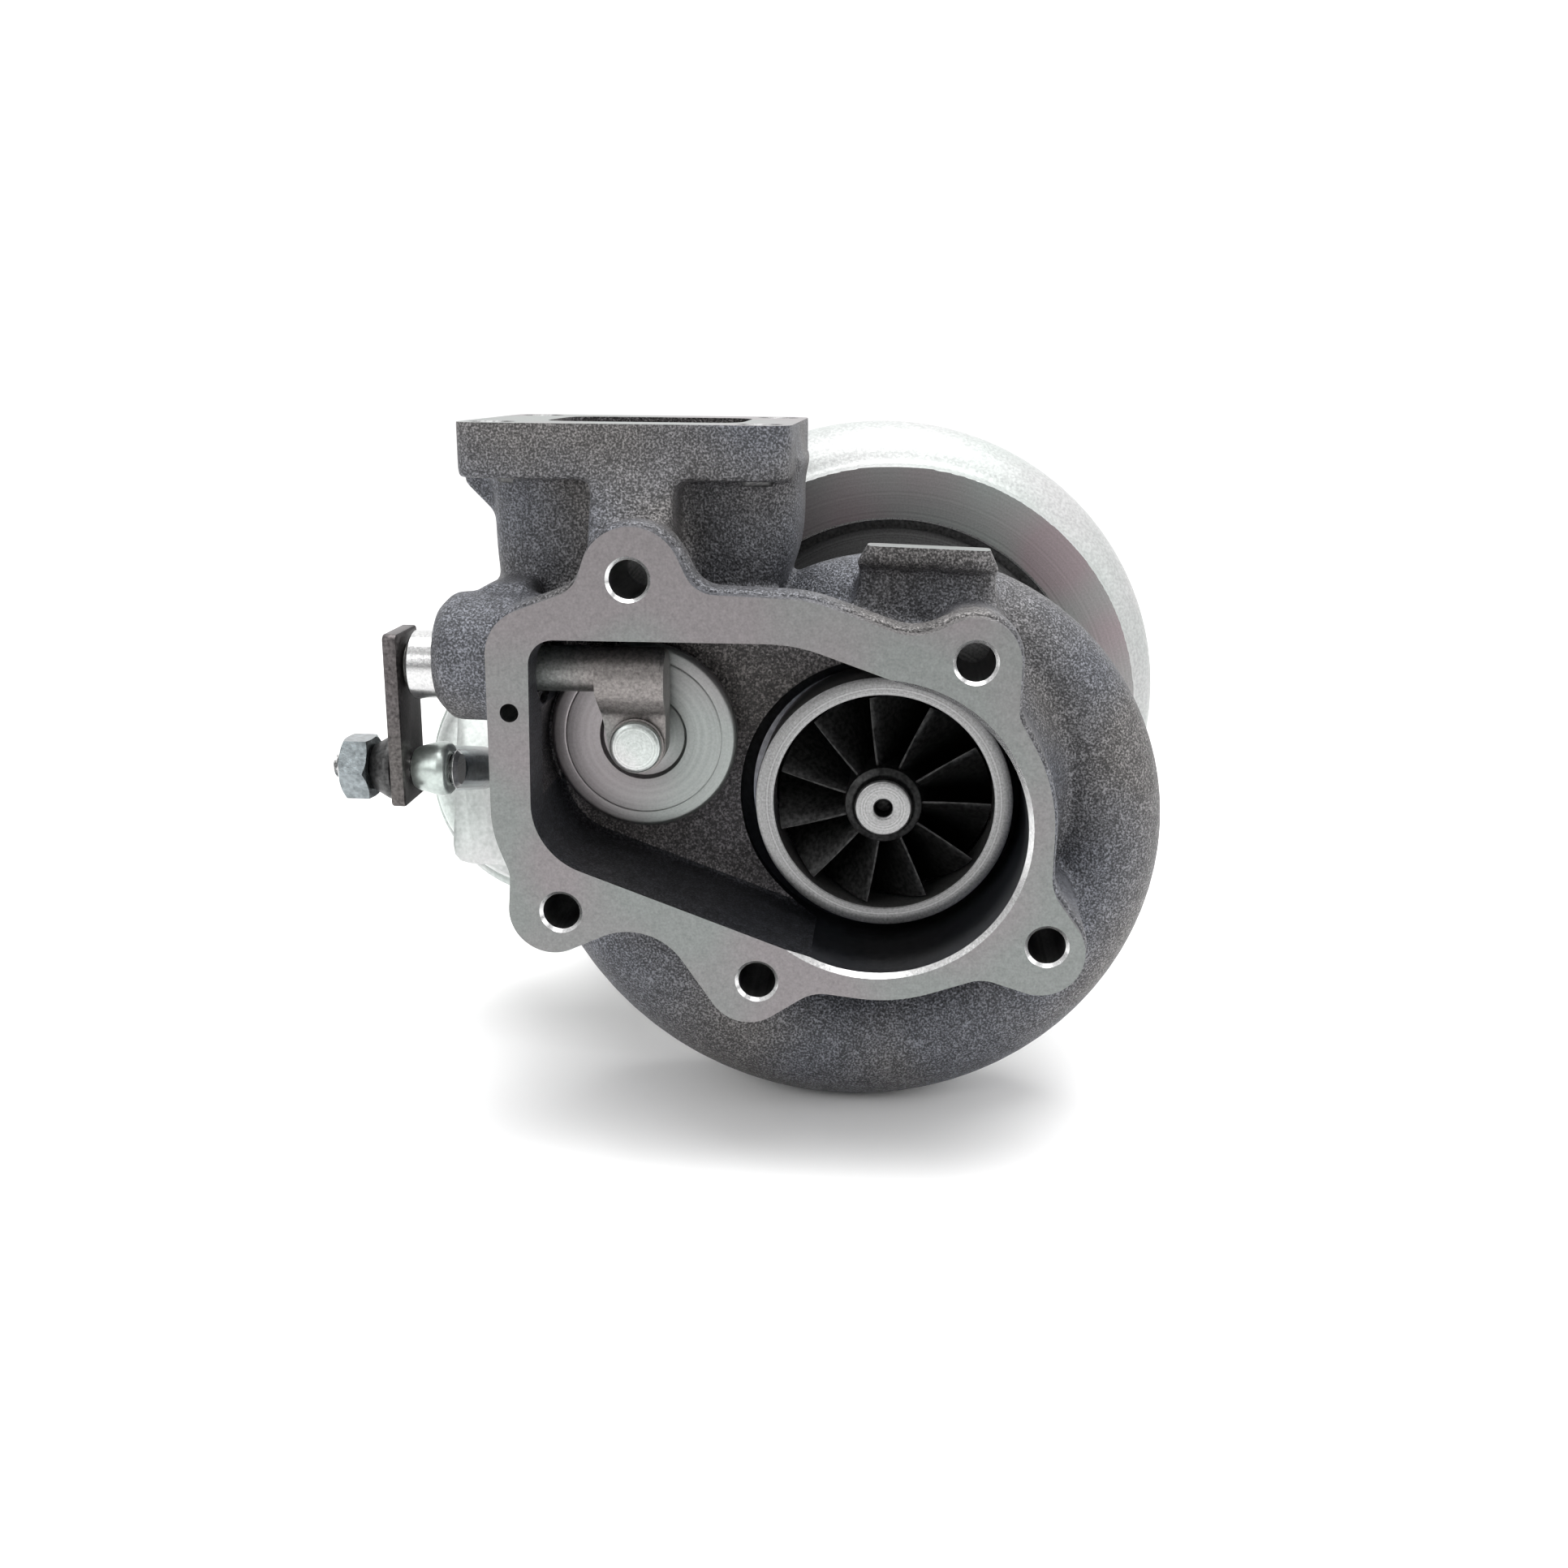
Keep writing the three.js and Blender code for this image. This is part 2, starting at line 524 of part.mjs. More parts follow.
function centre() {
  add('center_housing', centerHousing(), 'bearingIron');
  add('turbine_piston_ring', splitRing(7.3, 8.4, 39.7, 40.9, 12, 8), 'steel');
  const bearing = turnedRing([[4.3, 46.2], [9, 46.2], [9, 77.4], [4.3, 77.4]], 18);
  const oilDrain = bar('z', 5, -10, -3, [0, OIL_Y], 10);
  const oilFeed = bar('z', 2, 3, 10, [0, OIL_Y], 8);
  add('journal_bearing', cut(bearing, oilDrain, oilFeed), 'brass');
  const thrustDisc = turnedRing([[6, 83], [17.6, 83], [17.6, 87.5], [6, 87.5]], 20);
  const thrust = cut(thrustDisc, block(-4, 4, 82, 88, -20, -12));
  add('thrust_bearing', thrust, 'brass');
  add('compressor_piston_ring', splitRing(6.8, 7.8, 96.1, 97.4, 12, 8), 'steel');
  add('seal_plate', sealPlate(), 'castAluminium');
  const oRing = new THREE.TorusGeometry(51, 0.9, 4, 32).rotateX(Math.PI / 2).translate(0, 98.2, 0);
  add('seal_plate_o_ring', toSolid(oRing), 'rubber');
  SCREW_ANGLES.forEach((angle, i) => {
    const screw = add(`seal_plate_screw_${i + 1}`, hexBolt(8, 4, 2.5, 14.6), 'darkSteel');
    const [x, z] = screwPoint(angle);
    screw.position.set(x, 84.3, z);
  });
  add('cover_snap_ring', splitRing(50, 54, 93.4, 95.1, 16, 14), 'darkSteel');
}

// ---- Compressor cover ---------------------------------------------------------------------

// The cover's scroll starts at the bottom, runs right, over the top and down the left side,
// and grows all the way. Its travel is in degrees from the bottom.
const COVER_TRAVEL = 270;
const coverTubeR = (travel) => 9.5 + 11 * travel / COVER_TRAVEL;
const coverOuterR = (travel) => 70.5 + 12.5 * (travel / COVER_TRAVEL) ** 1.5;

function coverRing(travel, shrink, sides) {
  const tube = coverTubeR(travel);
  const centre = coverOuterR(travel) - tube;
  const angle = rad(270 + travel);
  return Array.from({ length: sides }, (_, i) => {
    const turn = 2 * Math.PI * i / sides;
    const r = centre + (tube - shrink) * Math.cos(turn);
    const y = COVER_FACE_Y + 3 + tube + (tube - shrink) * Math.sin(turn);
    return v3(r * Math.cos(angle), y, r * Math.sin(angle));
  });
}

function coverScroll(shrink, first, sides) {
  const rings = [];
  for (let travel = first; travel <= COVER_TRAVEL; travel += 22.5) {
    rings.push(coverRing(travel, shrink, sides));
  }
  return lofted(rings);
}

function coverOutlet(shrink, bottom, sides) {
  const tube = coverTubeR(COVER_TRAVEL);
  const x = -(coverOuterR(COVER_TRAVEL) - tube);
  const y = COVER_FACE_Y + 3 + tube;
  const round = (r, z) => ductRing(x, y, r - shrink, r - shrink, 2, z, sides);
  const neck = HOSE_R - 1.5;
  return lofted([round(tube, 0.5), round(tube + 1.5, -14), round(neck, -40), round(neck, bottom)]);
}

const OUTLET_CENTRE = [
  coverTubeR(COVER_TRAVEL) - coverOuterR(COVER_TRAVEL),
  COVER_FACE_Y + 3 + coverTubeR(COVER_TRAVEL),
];
const BRACKET_BOLTS = [[-57, -26], [-57, 0]];

function compressorCover() {
  const shell = turned([
    [0, COVER_FACE_Y], [COVER_FACE_R, COVER_FACE_Y], [66, 100], [56, 113], [40, 118], [33.5, 127],
    [33.5, 145], [35, 146], [35, 149.5], [33.5, COVER_END_Y], [0, COVER_END_Y],
  ], 32);
  const hoseBead = bar('z', HOSE_R, FLOOR_Z + 2, FLOOR_Z + 7, OUTLET_CENTRE, 16);
  const footShape = new THREE.Shape([v2(24, FLOOR_Z), v2(46, FLOOR_Z), v2(50, -50), v2(20, -55)]);
  const foot = plateY(footShape, 100, 118);
  const inside = turned([
    [0, 91], [COVER_BORE_R, 91], [COVER_BORE_R, 93], [54.4, 93], [54.4, 95.4], [COVER_BORE_R, 95.4],
    [COVER_BORE_R, 101.6], [49.8, 101.6], [49.8, 103.6], [56, 103.6], [56, 107.5], [44, 107.5], [36, 105.8],
    [30.7, 105.8], [27, 108], [24.9, 111.4], [24.1, 116], [24.1, 126], [29, 153], [0, 153],
  ], 32);
  const bolts = BRACKET_BOLTS.map((at) => bar('y', 3 + GAP, 91, 100, at, 8));
  return cut(
    join(shell, coverScroll(0, 0, 12), coverOutlet(0, FLOOR_Z, 16), hoseBead, foot),
    inside, coverScroll(4, 0, 8), coverOutlet(4, FLOOR_Z - 1, 12), ...bolts,
  );
}

// ---- Wastegate ----------------------------------------------------------------------------

function wastegateShaft() {
  const round = bar('x', SHAFT.r, LEVER_X + LEVER_T + GAP, -58, [SHAFT.y, SHAFT.z], 16);
  const elbow = bar('x', 6.5, -60.3, -44.7, [SHAFT.y, SHAFT.z], 16);
  const down = plateY(belt([[-45.2, 28, 0.5], [-59.8, 28, 0.5], [VALVE.x, VALVE.z, 6.6]]), -4.5, 1.3);
  const hole = bar('y', 4.2 + GAP, -6, 2, [VALVE.x, VALVE.z], 14);
  return cut(join(round, elbow, down), hole);
}

function wastegateValve() {
  const { r, seatY } = VALVE;
  const face = seatY - 5.4;
  const back = seatY - GAP;
  return turned([
    [0, -7.3], [5.2, -7.3], [5.9, -6.6], [5.9, -5.6], [4.2, -5.6], [4.2, face - 1.9], [9.8, face - 1.9],
    [10.4, face], [r - 1, face + 0.4], [r, face + 1.6], [r, back - BACK_CHAMFER],
    [DISC_SEAT_R, back], [0, back],
  ], 24);
}

function lever() {
  const shape = belt([[-9.7, 35, 1.4], [-9.7, 0.3, 1.4], [2.3, 0.3, 1.4], [2.3, 35, 1.4]]);
  const plate = plateX(shape, LEVER_X, LEVER_X + LEVER_T, 1);
  return cut(plate, bar('x', PIN_R + GAP, LEVER_X - 1, LEVER_X + 4, [SHAFT.y, PIN_Z], 10));
}

function wastegate() {
  const bush = bar('x', BUSH_R, -101, -74, [SHAFT.y, SHAFT.z], 16);
  const bushHole = bar('x', SHAFT.r + GAP, -103, -73, [SHAFT.y, SHAFT.z], 16);
  add('wastegate_bushing', cut(bush, bushHole), 'steel');
  add('wastegate_shaft', wastegateShaft(), 'steel');
  const valve = add('wastegate_valve', wastegateValve(), 'steel');
  valve.position.set(VALVE.x, 0, VALVE.z);
  const washerRing = turnedRing([[4.5, -5.4], [7, -5.4], [7, -4.8], [4.5, -4.8]], 16);
  const washer = add('valve_washer', washerRing, 'steel');
  washer.position.copy(valve.position);
  add('wastegate_lever', lever(), 'darkSteel');
  const pin = join(
    bar('x', PIN_R, -119.6, -93.4, [SHAFT.y, PIN_Z], 10), bar('x', 4.2, -93.5, -91.8, [SHAFT.y, PIN_Z], 12),
  );
  add('lever_pin', pin, 'steel');
  const nut = add('lever_nut', hexNut(12.8, 6, PIN_R + GAP), 'zinc');
  nut.position.set(-117, SHAFT.y, PIN_Z);
  nut.rotation.z = -Math.PI / 2;
  const cone = [[PIN_R + GAP, 0], [PIN_R + GAP, 5], [7, 5], [7, 3.6], [5, 0]];
  const seat = add('lever_washer', turnedRing(cone, 16), 'darkSteel');
  seat.position.set(-110.7, SHAFT.y, PIN_Z);
  seat.rotation.z = -Math.PI / 2;
}

// ---- Actuator -----------------------------------------------------------------------------

const PIN_CENTRE = v3(-97.4, SHAFT.y, PIN_Z);
const ROD_R = 2.4;
const ROD_END_L = 27;

// The actuator's own frame: y = 0 at the crimped rim, y rising away from the lever pin.
const rodLine = CAN_CENTRE.clone().sub(PIN_CENTRE).normalize();
const rodTurn = new THREE.Quaternion().setFromUnitVectors(v3(0, 1, 0), rodLine);

function actuatorFrame() {
  const frame = new THREE.Group();
  frame.position.copy(CAN_CENTRE);
  frame.quaternion.copy(rodTurn);
  turbo.add(frame);
  return frame;
}

const STUDS = [[12, -15], [12, 15]];

function canisterFront() {
  const shell = turnedRing([
    [5.2, -13.6], [24.5, -13.6], [29.5, -11.8], [31.3, -8], [31.6, -1.6], [CAN_R, -1.6], [CAN_R, -0.2],
    [30.3, -0.2], [30, -8], [28.4, -10.8], [24, -12.2], [5.2, -12.2],
  ], 28);
  return cut(shell, ...STUDS.map((at) => bar('y', 3 + GAP, -15, -11, at, 8)));
}

function canisterRear() {
  const shell = turned([
    [0, 14.6], [20, 14.6], [26, 12], [29.8, 7.6], [30.6, 2.4], [CAN_R, 2.4], [CAN_R, 1], [29.3, 1],
    [28.5, 7], [25.2, 10.8], [19.6, 13.2], [0, 13.2],
  ], 32);
  return cut(shell, bar('y', 2.2, 12, 16, [-16, -6], 8));
}

function springSolid() {
  const turns = 3;
  const points = [];
  for (let i = 0; i <= turns * 12; i += 1) {
    const angle = 2 * Math.PI * i / 12;
    points.push(v3(12.2 * Math.cos(angle), -10.7 + 7.2 * i / (turns * 12), 12.2 * Math.sin(angle)));
  }
  const section = new THREE.Shape().absarc(0, 0, 1.1, 0, 2 * Math.PI, false);
  const extrudePath = new THREE.CatmullRomCurve3(points);
  const steps = points.length - 1;
  return toSolid(new THREE.ExtrudeGeometry(section, { steps, curveSegments: 2, extrudePath }));
}

// The bracket: a plate across the front of the can, a web that runs back, and a bolted foot.
function bracket() {
  const toTurbo = new THREE.Matrix4().compose(CAN_CENTRE, rodTurn, v3(1, 1, 1));
  const face = new THREE.Shape([v2(-22, -26), v2(45, -26), v2(45, 20), v2(-22, 20)]);
  const plate = new THREE.ExtrudeGeometry(face, { depth: 2.4, bevelEnabled: false }).rotateX(Math.PI / 2);
  const front = toSolid(plate.translate(0, -14, 0).applyMatrix4(toTurbo));
  const holes = [[0, 0, 8.5], ...STUDS.map(([x, z]) => [x, z, 3 + GAP])].map(([x, z, r]) => {
    return toSolid(new THREE.CylinderGeometry(r, r, 6, 12).translate(x, -15, z).applyMatrix4(toTurbo));
  });
  const web = plateX(new THREE.Shape([v2(49.6, -31), v2(91.7, -33), v2(91.7, 7), v2(59, 8)]), -50.4, -48);
  const foot = block(-63, -48, 89.3, 91.7, -33, 7);
  const beyond = block(-48, 0, 30, 100, -80, 80);
  const footHoles = BRACKET_BOLTS.map((at) => bar('y', 3 + GAP, 88, 93, at, 8));
  return cut(join(front, web, foot), beyond, ...holes, ...footHoles);
}

function actuator() {
  const frame = actuatorFrame();
  const reach = -CAN_CENTRE.distanceTo(PIN_CENTRE);
  add('canister_front', canisterFront(), 'zinc', frame);
  add('canister_rear', canisterRear(), 'zinc', frame);
  const edge = CAN_R - 0.2;
  const diaphragm = [
    [0, 0.1], [16, 0.1], [20, 1.9], [24, 0.1], [edge, 0.1], [edge, 0.7], [24, 0.7], [20.4, 2.6],
    [15.6, 0.7], [0, 0.7],
  ];
  add('diaphragm', turned(diaphragm, 24), 'rubber', frame);
  add('piston_cup', turned([[0, -2], [13.4, -2], [13.4, -0.2], [0, -0.2]], 20), 'steel', frame);
  add('actuator_spring', springSolid(), 'steel', frame);
  add('actuator_rod', bar('y', ROD_R, reach + ROD_END_L - 5, -2.3, [0, 0], 16), 'zinc', frame);
  STUDS.forEach(([x, z], i) => {
    const stud = join(bar('y', 3, -23, -11.6, [x, z], 8), bar('y', 4, -11.8, -10.6, [x, z], 10));
    add(`canister_stud_${i + 1}`, stud, 'zinc', frame);
    add(`canister_nut_${i + 1}`, hexNut(10, 5, 3 + GAP), 'zinc', frame).position.set(x, -21.9, z);
  });
  const barb = [
    [0, 12.4], [1.9, 12.4], [1.9, 14.9], [4, 14.9], [4, 17], [2.4, 17], [2.4, 27], [3.1, 28],
    [2.2, 31], [0, 31],
  ];
  add('hose_barb', turned(barb, 10), 'brass', frame).position.set(-16, 0, -6);
  add('actuator_bracket', bracket(), 'zinc');
  BRACKET_BOLTS.forEach(([x, z], i) => {
    add(`bracket_bolt_${i + 1}`, hexBolt(10, 4.4, 3, 14.4), 'zinc').position.set(x, 84.6, z);
  });
  rodEnd(frame, reach);
}

// The rod end: an eye round the lever pin, and a round shank along the rod.
function rodEnd(frame, reach) {
  frame.updateMatrixWorld(true);
  const shank = new THREE.CylinderGeometry(4, 5.1, 1.8, 12).translate(0, reach + ROD_END_L + 0.8, 0);
  const barrel = new THREE.CylinderGeometry(5.1, 5.1, ROD_END_L, 12).translate(0, reach + ROD_END_L / 2, 0);
  const inTurbo = (geometry) => toSolid(geometry.applyMatrix4(frame.matrixWorld));
  const eye = bar('x', 6, -101.9, -93.8, [SHAFT.y, PIN_Z], 16);
  const body = cut(join(eye, inTurbo(shank), inTurbo(barrel)), block(-110, -101.9, -20, 20, -20, 30));
  const hole = new THREE.CylinderGeometry(ROD_R + GAP, ROD_R + GAP, 12, 10);
  const rodHole = hole.translate(0, reach + ROD_END_L, 0);
  const pinHead = bar('x', 5, -93.8, -80, [SHAFT.y, PIN_Z], 12);
  const pinHole = bar('x', PIN_R + GAP, -103, -90, [SHAFT.y, PIN_Z], 10);
  const pinSlot = pinHead.intersect(block(-93.7, -80, -20, 2, -10, 20));
  add('rod_end', cut(body, pinHole, pinSlot, inTurbo(rodHole)), 'zinc');
}

turbineSide();
rotor();
centre();
add('compressor_cover', compressorCover(), 'castAluminium');
wastegate();
actuator();

// The origin is at the centre of the base of everything above.
turbo.updateMatrixWorld(true);
const box = new THREE.Box3().setFromObject(turbo, true);
turbo.position.set(-(box.min.x + box.max.x) / 2, -(box.min.y + box.max.y) / 2, -box.min.z);

const object = new THREE.Group();
object.add(turbo);
export default object;
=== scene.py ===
"""Turbocharger with an internal wastegate: the finished look of every CAD piece, its materials and a studio.

Shapes are drawn in millimetres about the rotor axis: X right, Y from the turbine outlet to the compressor
inlet and Z up, with y = 0 at the turbine outlet collar. Publishing a piece moves it into the row frame.
"""

import json
import math

import bmesh
import bpy
from mathutils import Matrix, Vector


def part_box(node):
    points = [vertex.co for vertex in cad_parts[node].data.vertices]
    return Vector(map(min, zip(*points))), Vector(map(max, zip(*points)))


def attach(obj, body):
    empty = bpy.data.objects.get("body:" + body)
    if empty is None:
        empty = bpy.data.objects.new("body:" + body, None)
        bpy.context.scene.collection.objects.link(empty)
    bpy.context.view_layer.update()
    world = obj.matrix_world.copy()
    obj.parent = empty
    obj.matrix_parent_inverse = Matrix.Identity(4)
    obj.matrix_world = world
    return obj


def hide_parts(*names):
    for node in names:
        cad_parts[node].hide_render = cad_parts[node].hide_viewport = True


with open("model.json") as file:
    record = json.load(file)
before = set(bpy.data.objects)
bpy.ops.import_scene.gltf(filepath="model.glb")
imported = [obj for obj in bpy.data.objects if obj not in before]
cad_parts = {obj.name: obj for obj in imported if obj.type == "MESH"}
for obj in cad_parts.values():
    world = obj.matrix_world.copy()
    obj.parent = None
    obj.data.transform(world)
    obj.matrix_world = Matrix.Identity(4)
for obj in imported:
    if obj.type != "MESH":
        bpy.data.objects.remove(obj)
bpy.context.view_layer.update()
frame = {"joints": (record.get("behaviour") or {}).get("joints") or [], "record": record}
RECORD = frame["record"]

MM = 0.001
rad = math.radians

# ---- Driving dimensions, in millimetres ----

OUTLET_FACE_Y = -18.0
SPIN_AT = next(j for j in frame["joints"] if j["name"] == "shaft_spin")["pos_m"]
ORIGIN = Vector((SPIN_AT[0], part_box("turbine_housing")[0].y - OUTLET_FACE_Y * MM, SPIN_AT[2]))
TO_ROW = Matrix.Translation(ORIGIN) @ Matrix.Scale(MM, 4)
FLOOR_Z = -SPIN_AT[2] / MM

COLLAR_BORE_R = 23.8
COLLAR_R = 27.9
TURBINE_TIP_R = 26.8
M5_R, M5_HOLE_R, M6_R, M6_HOLE_R, M8_HOLE_R = 2.5, 2.8, 3.0, 3.3, 3.95
POCKET_FLOOR_Y = 10.5
INLET_TOP_Z = 79.4
INLET_FLANGE_T = 11.5
SCROLL_Y = 29.0
WALL = 4.5
VALVE_X, VALVE_Z, VALVE_R, SEAT_Y = -53.0, 12.6, 20.6, 9.0
SHAFT_Y, SHAFT_Z, SHAFT_R = -3.7, 28.9, 4.9
BUSH_R = 7.35
BOSS_END_X = -94.0
LEVER_X, LEVER_T = -105.4, 3.0
PIN_Z, PIN_R = 6.0, 2.85
VALVE_AT, SHAFT_AT, PIN_AT = (VALVE_X, VALVE_Z), (SHAFT_Y, SHAFT_Z), (SHAFT_Y, PIN_Z)
PIN_CENTRE = Vector((-97.4, SHAFT_Y, PIN_Z))
CAN_CENTRE = Vector((-89.6, 75.0, -14.0))
CAN_R = 34.6
ROD_R = 2.4
ROD_END_L = 27.0
STUDS = [(12, -15), (12, 15)]
COVER_FACE_Y, COVER_FACE_R, COVER_BORE_R, COVER_END_Y = 92.0, 66.6, 52.3, 152.0
WHEEL2_R, WHEEL2_BACK_Y = 30.0, 101.8
TURBINE_BLADES, COMPRESSOR_BLADES = 11, 6
HOSE_R = 25.4
PIPE_R = HOSE_R - 1.5
OIL_Y = 62.0
BRACKET_BOLTS = [(-57, -26), (-57, 0)]
CLAMP_ANGLES, CLAMP_BOLT_R = [-35, 35, 145, 215], 43.0
SCREW_ANGLES, SCREW_R = [45, 135, 225, 315], 29.5
EARS = [(-51.9, 49.8), (17.8, 34.7), (34.9, -24.8), (-25.7, -35), (-67.5, -21)]
FLANGE_OUTLINE = [
    (-51.3, 50, 10.3), (-68.5, 53, -7), (-71.5, 33.6, 10.1), (-57.3, 1, 24.4), (-84.5, -13.8, -6.3),
    (-69.4, -20.9, 9.3), (-53, -38.5, -13.6), (-27.6, -35.5, 9), (-11.5, -46, -8.7), (-0.5, -3, 35.2),
    (21.9, -41.5, -8.6), (33.6, -26.4, 9.3), (45.2, -9.5, -10), (-0.8, -0.5, 36), (33, 25.2, -6.2),
    (17.8, 34.5, 9.1), (5, 51.5, -11.6), (-20.5, 20, 26.6), (-34.3, 53.8, -6.7),
]
BOWL = (-1.1, -1.3, 31)
CHAMBER_OUTLINE = [(-67.4, 32, 5.3), (-58, 2.5, 15.2), BOWL, (-24, 4, 33.5)]

# ---- Outlines ----


def belt(circles, step=4.0):
    """A belt run round circles (u, v, radius): positive is an outside corner and negative a hollow."""
    normals = []
    for i, (u, v, r) in enumerate(circles):
        nu, nv, nr = circles[(i + 1) % len(circles)]
        normals.append(math.atan2(nv - v, nu - u) - math.acos((r - nr) / math.hypot(nu - u, nv - v)))
    points = []
    for i, (u, v, r) in enumerate(circles):
        flip = math.pi if r < 0 else 0.0
        start, end = normals[i - 1] + flip, normals[i] + flip
        sweep = (end - start) % math.tau if r > 0 else -((start - end) % math.tau)
        count = max(2, math.ceil(abs(sweep) / rad(step)))
        for k in range(count + 1):
            angle = start + sweep * k / count
            points.append((u + abs(r) * math.cos(angle), v + abs(r) * math.sin(angle)))
    return points


def grown(circles, by):
    return [(u, v, r + by) for u, v, r in circles]


def rounded_box(cu, cv, hu, hv, r):
    return belt([(cu + hu - r, cv - hv + r, r), (cu + hu - r, cv + hv - r, r),
                 (cu - hu + r, cv + hv - r, r), (cu - hu + r, cv - hv + r, r)])


def rect(u0, v0, u1, v1):
    return [(u0, v0), (u1, v0), (u1, v1), (u0, v1)]


def polar(r, degrees):
    return (r * math.cos(rad(degrees)), r * math.sin(rad(degrees)))


CLAMP_BOLTS = [polar(CLAMP_BOLT_R, angle) for angle in CLAMP_ANGLES]
SCREWS = [polar(SCREW_R, angle) for angle in SCREW_ANGLES]


def sector(inner, outer, start, sweep, count):
    """Part of a flat ring, from a start angle in degrees, with arcs of count steps."""
    angles = [start + sweep * k / count for k in range(count + 1)]
    return [polar(outer, angle) for angle in angles] + [polar(inner, angle) for angle in reversed(angles)]


def rounded(points, size, closed=True, steps=3):
    """The same corners, each rounded off over at most size along its edges."""
    out = []
    for i, corner in enumerate(points):
        if not closed and i in (0, len(points) - 1):
            out.append(tuple(corner))
            continue
        c = Vector(corner)
        before, after = Vector(points[i - 1]) - c, Vector(points[(i + 1) % len(points)]) - c
        a = c + before.normalized() * min(size, before.length * 0.45)
        b = c + after.normalized() * min(size, after.length * 0.45)
        for k in range(steps + 1):
            t = k / steps
            out.append(tuple(a * (1 - t) ** 2 + c * 2 * t * (1 - t) + b * t * t))
    return out


def inset(points, by):
    """A closed anticlockwise outline moved inwards."""
    out = []
    for i, p in enumerate(points):
        p = Vector(p)
        before, after = p - Vector(points[i - 1]), Vector(points[(i + 1) % len(points)]) - p
        if before.length < 1e-6 or after.length < 1e-6:
            before = after = before if before.length > after.length else after
        a, b = before.normalized(), after.normalized()
        normal = Vector((-a.y - b.y, a.x + b.x)).normalized()
        out.append(tuple(p + normal * by / max(0.5, normal.dot(Vector((-a.y, a.x))))))
    return out


def through(rows, steps):
    """Rows of numbers joined by a smooth curve, with steps rows to each span."""
    out = []
    for i in range(len(rows) - 1):
        p1, p2 = rows[i], rows[i + 1]
        p0 = rows[i - 1] if i else [2 * a - b for a, b in zip(p1, p2)]
        p3 = rows[i + 2] if i + 2 < len(rows) else [2 * b - a for a, b in zip(p1, p2)]
        for k in range(steps):
            t = k / steps
            out.append([
                0.5 * (2 * b + (c - a) * t + (2 * a - 5 * b + 4 * c - d) * t * t
                       + (3 * b - a - 3 * c + d) * t ** 3)
                for a, b, c, d in zip(p0, p1, p2, p3)
            ])
    return out + [list(rows[-1])]


# ---- Solids ----


def solid(points, faces, finish=None):
    mesh = bpy.data.meshes.new("solid")
    mesh.from_pydata([tuple(p) for p in points], [], faces)
    bm = bmesh.new()
    bm.from_mesh(mesh)
    bmesh.ops.remove_doubles(bm, verts=bm.verts, dist=1e-4)
    bmesh.ops.recalc_face_normals(bm, faces=bm.faces)
    if bm.calc_volume(signed=True) < 0:
        bmesh.ops.reverse_faces(bm, faces=bm.faces)
    bm.to_mesh(mesh)
    bm.free()
    if finish is not None:
        mesh.materials.append(finish)
    obj = bpy.data.objects.new("solid", mesh)
    bpy.context.scene.collection.objects.link(obj)
    return obj


def stacked(rings, finish=None):
    """A skin through rings of equally many points, capped at both ends."""
    count = len(rings[0])
    points = [p for ring in rings for p in ring]
    faces = []
    for a in range(0, len(points) - count, count):
        b = a + count
        for i in range(count):
            j = (i + 1) % count
            faces.append((a + i, a + j, b + j, b + i))
    faces.append(tuple(range(count)))
    faces.append(tuple(reversed(range(len(points) - count, len(points)))))
    return solid(points, faces, finish)


def turn_to(axis, u, v, w):
    return {"x": (w, u, v), "y": (u, w, v), "z": (u, v, w)}[axis]


def prism(outline, lo, hi, finish=None, axis="y", edge=0.0):
    """An outline run from lo to hi along an axis, with its end edges broken by edge."""
    levels = [(0.0, lo), (0.0, hi)]
    if edge:
        near, far = (edge * 0.3, edge * 0.3), (edge, 0.0)
        levels = [(far[0], lo), (near[0], lo + near[1]), (0.0, lo + edge),
                  (0.0, hi - edge), (near[0], hi - near[1]), (far[0], hi)]
    rings = []
    for by, level in levels:
        ring = inset(outline, by) if by else outline
        rings.append([turn_to(axis, u, v, level) for u, v in ring])
    return stacked(rings, finish)


def lathe(profile, finish=None, axis="y", at=(0.0, 0.0), segments=96, round_off=0.25):
    """A turned solid from (radius, height) points, its corners rounded off."""
    on_axis = profile[0][0] < 1e-6
    if round_off:
        profile = rounded(profile, round_off, closed=not on_axis, steps=2)
    points, rings, faces = [], [], []
    for r, w in profile:
        if r < 1e-6:
            rings.append([len(points)] * segments)
            points.append(turn_to(axis, at[0], at[1], w))
            continue
        rings.append(list(range(len(points), len(points) + segments)))
        for i in range(segments):
            angle = math.tau * i / segments
            points.append(turn_to(axis, at[0] + r * math.cos(angle), at[1] + r * math.sin(angle), w))
    pairs = list(zip(rings, rings[1:])) + ([] if on_axis else [(rings[-1], rings[0])])
    for a, b in pairs:
        for i in range(segments):
            j = (i + 1) % segments
            face = list(dict.fromkeys((a[i], a[j], b[j], b[i])))
            if len(face) > 2:
                faces.append(tuple(face))
    return solid(points, faces, finish)


def bar(axis, r, lo, hi, at, finish=None, edge=0.0, segments=64):
    profile = [(0, lo), (r - edge, lo), (r, lo + edge), (r, hi - edge), (r - edge, hi), (0, hi)]
    if not edge:
        profile = rect(0, lo, r, hi)
    return lathe(profile, finish, axis, at, segments, round_off=0)


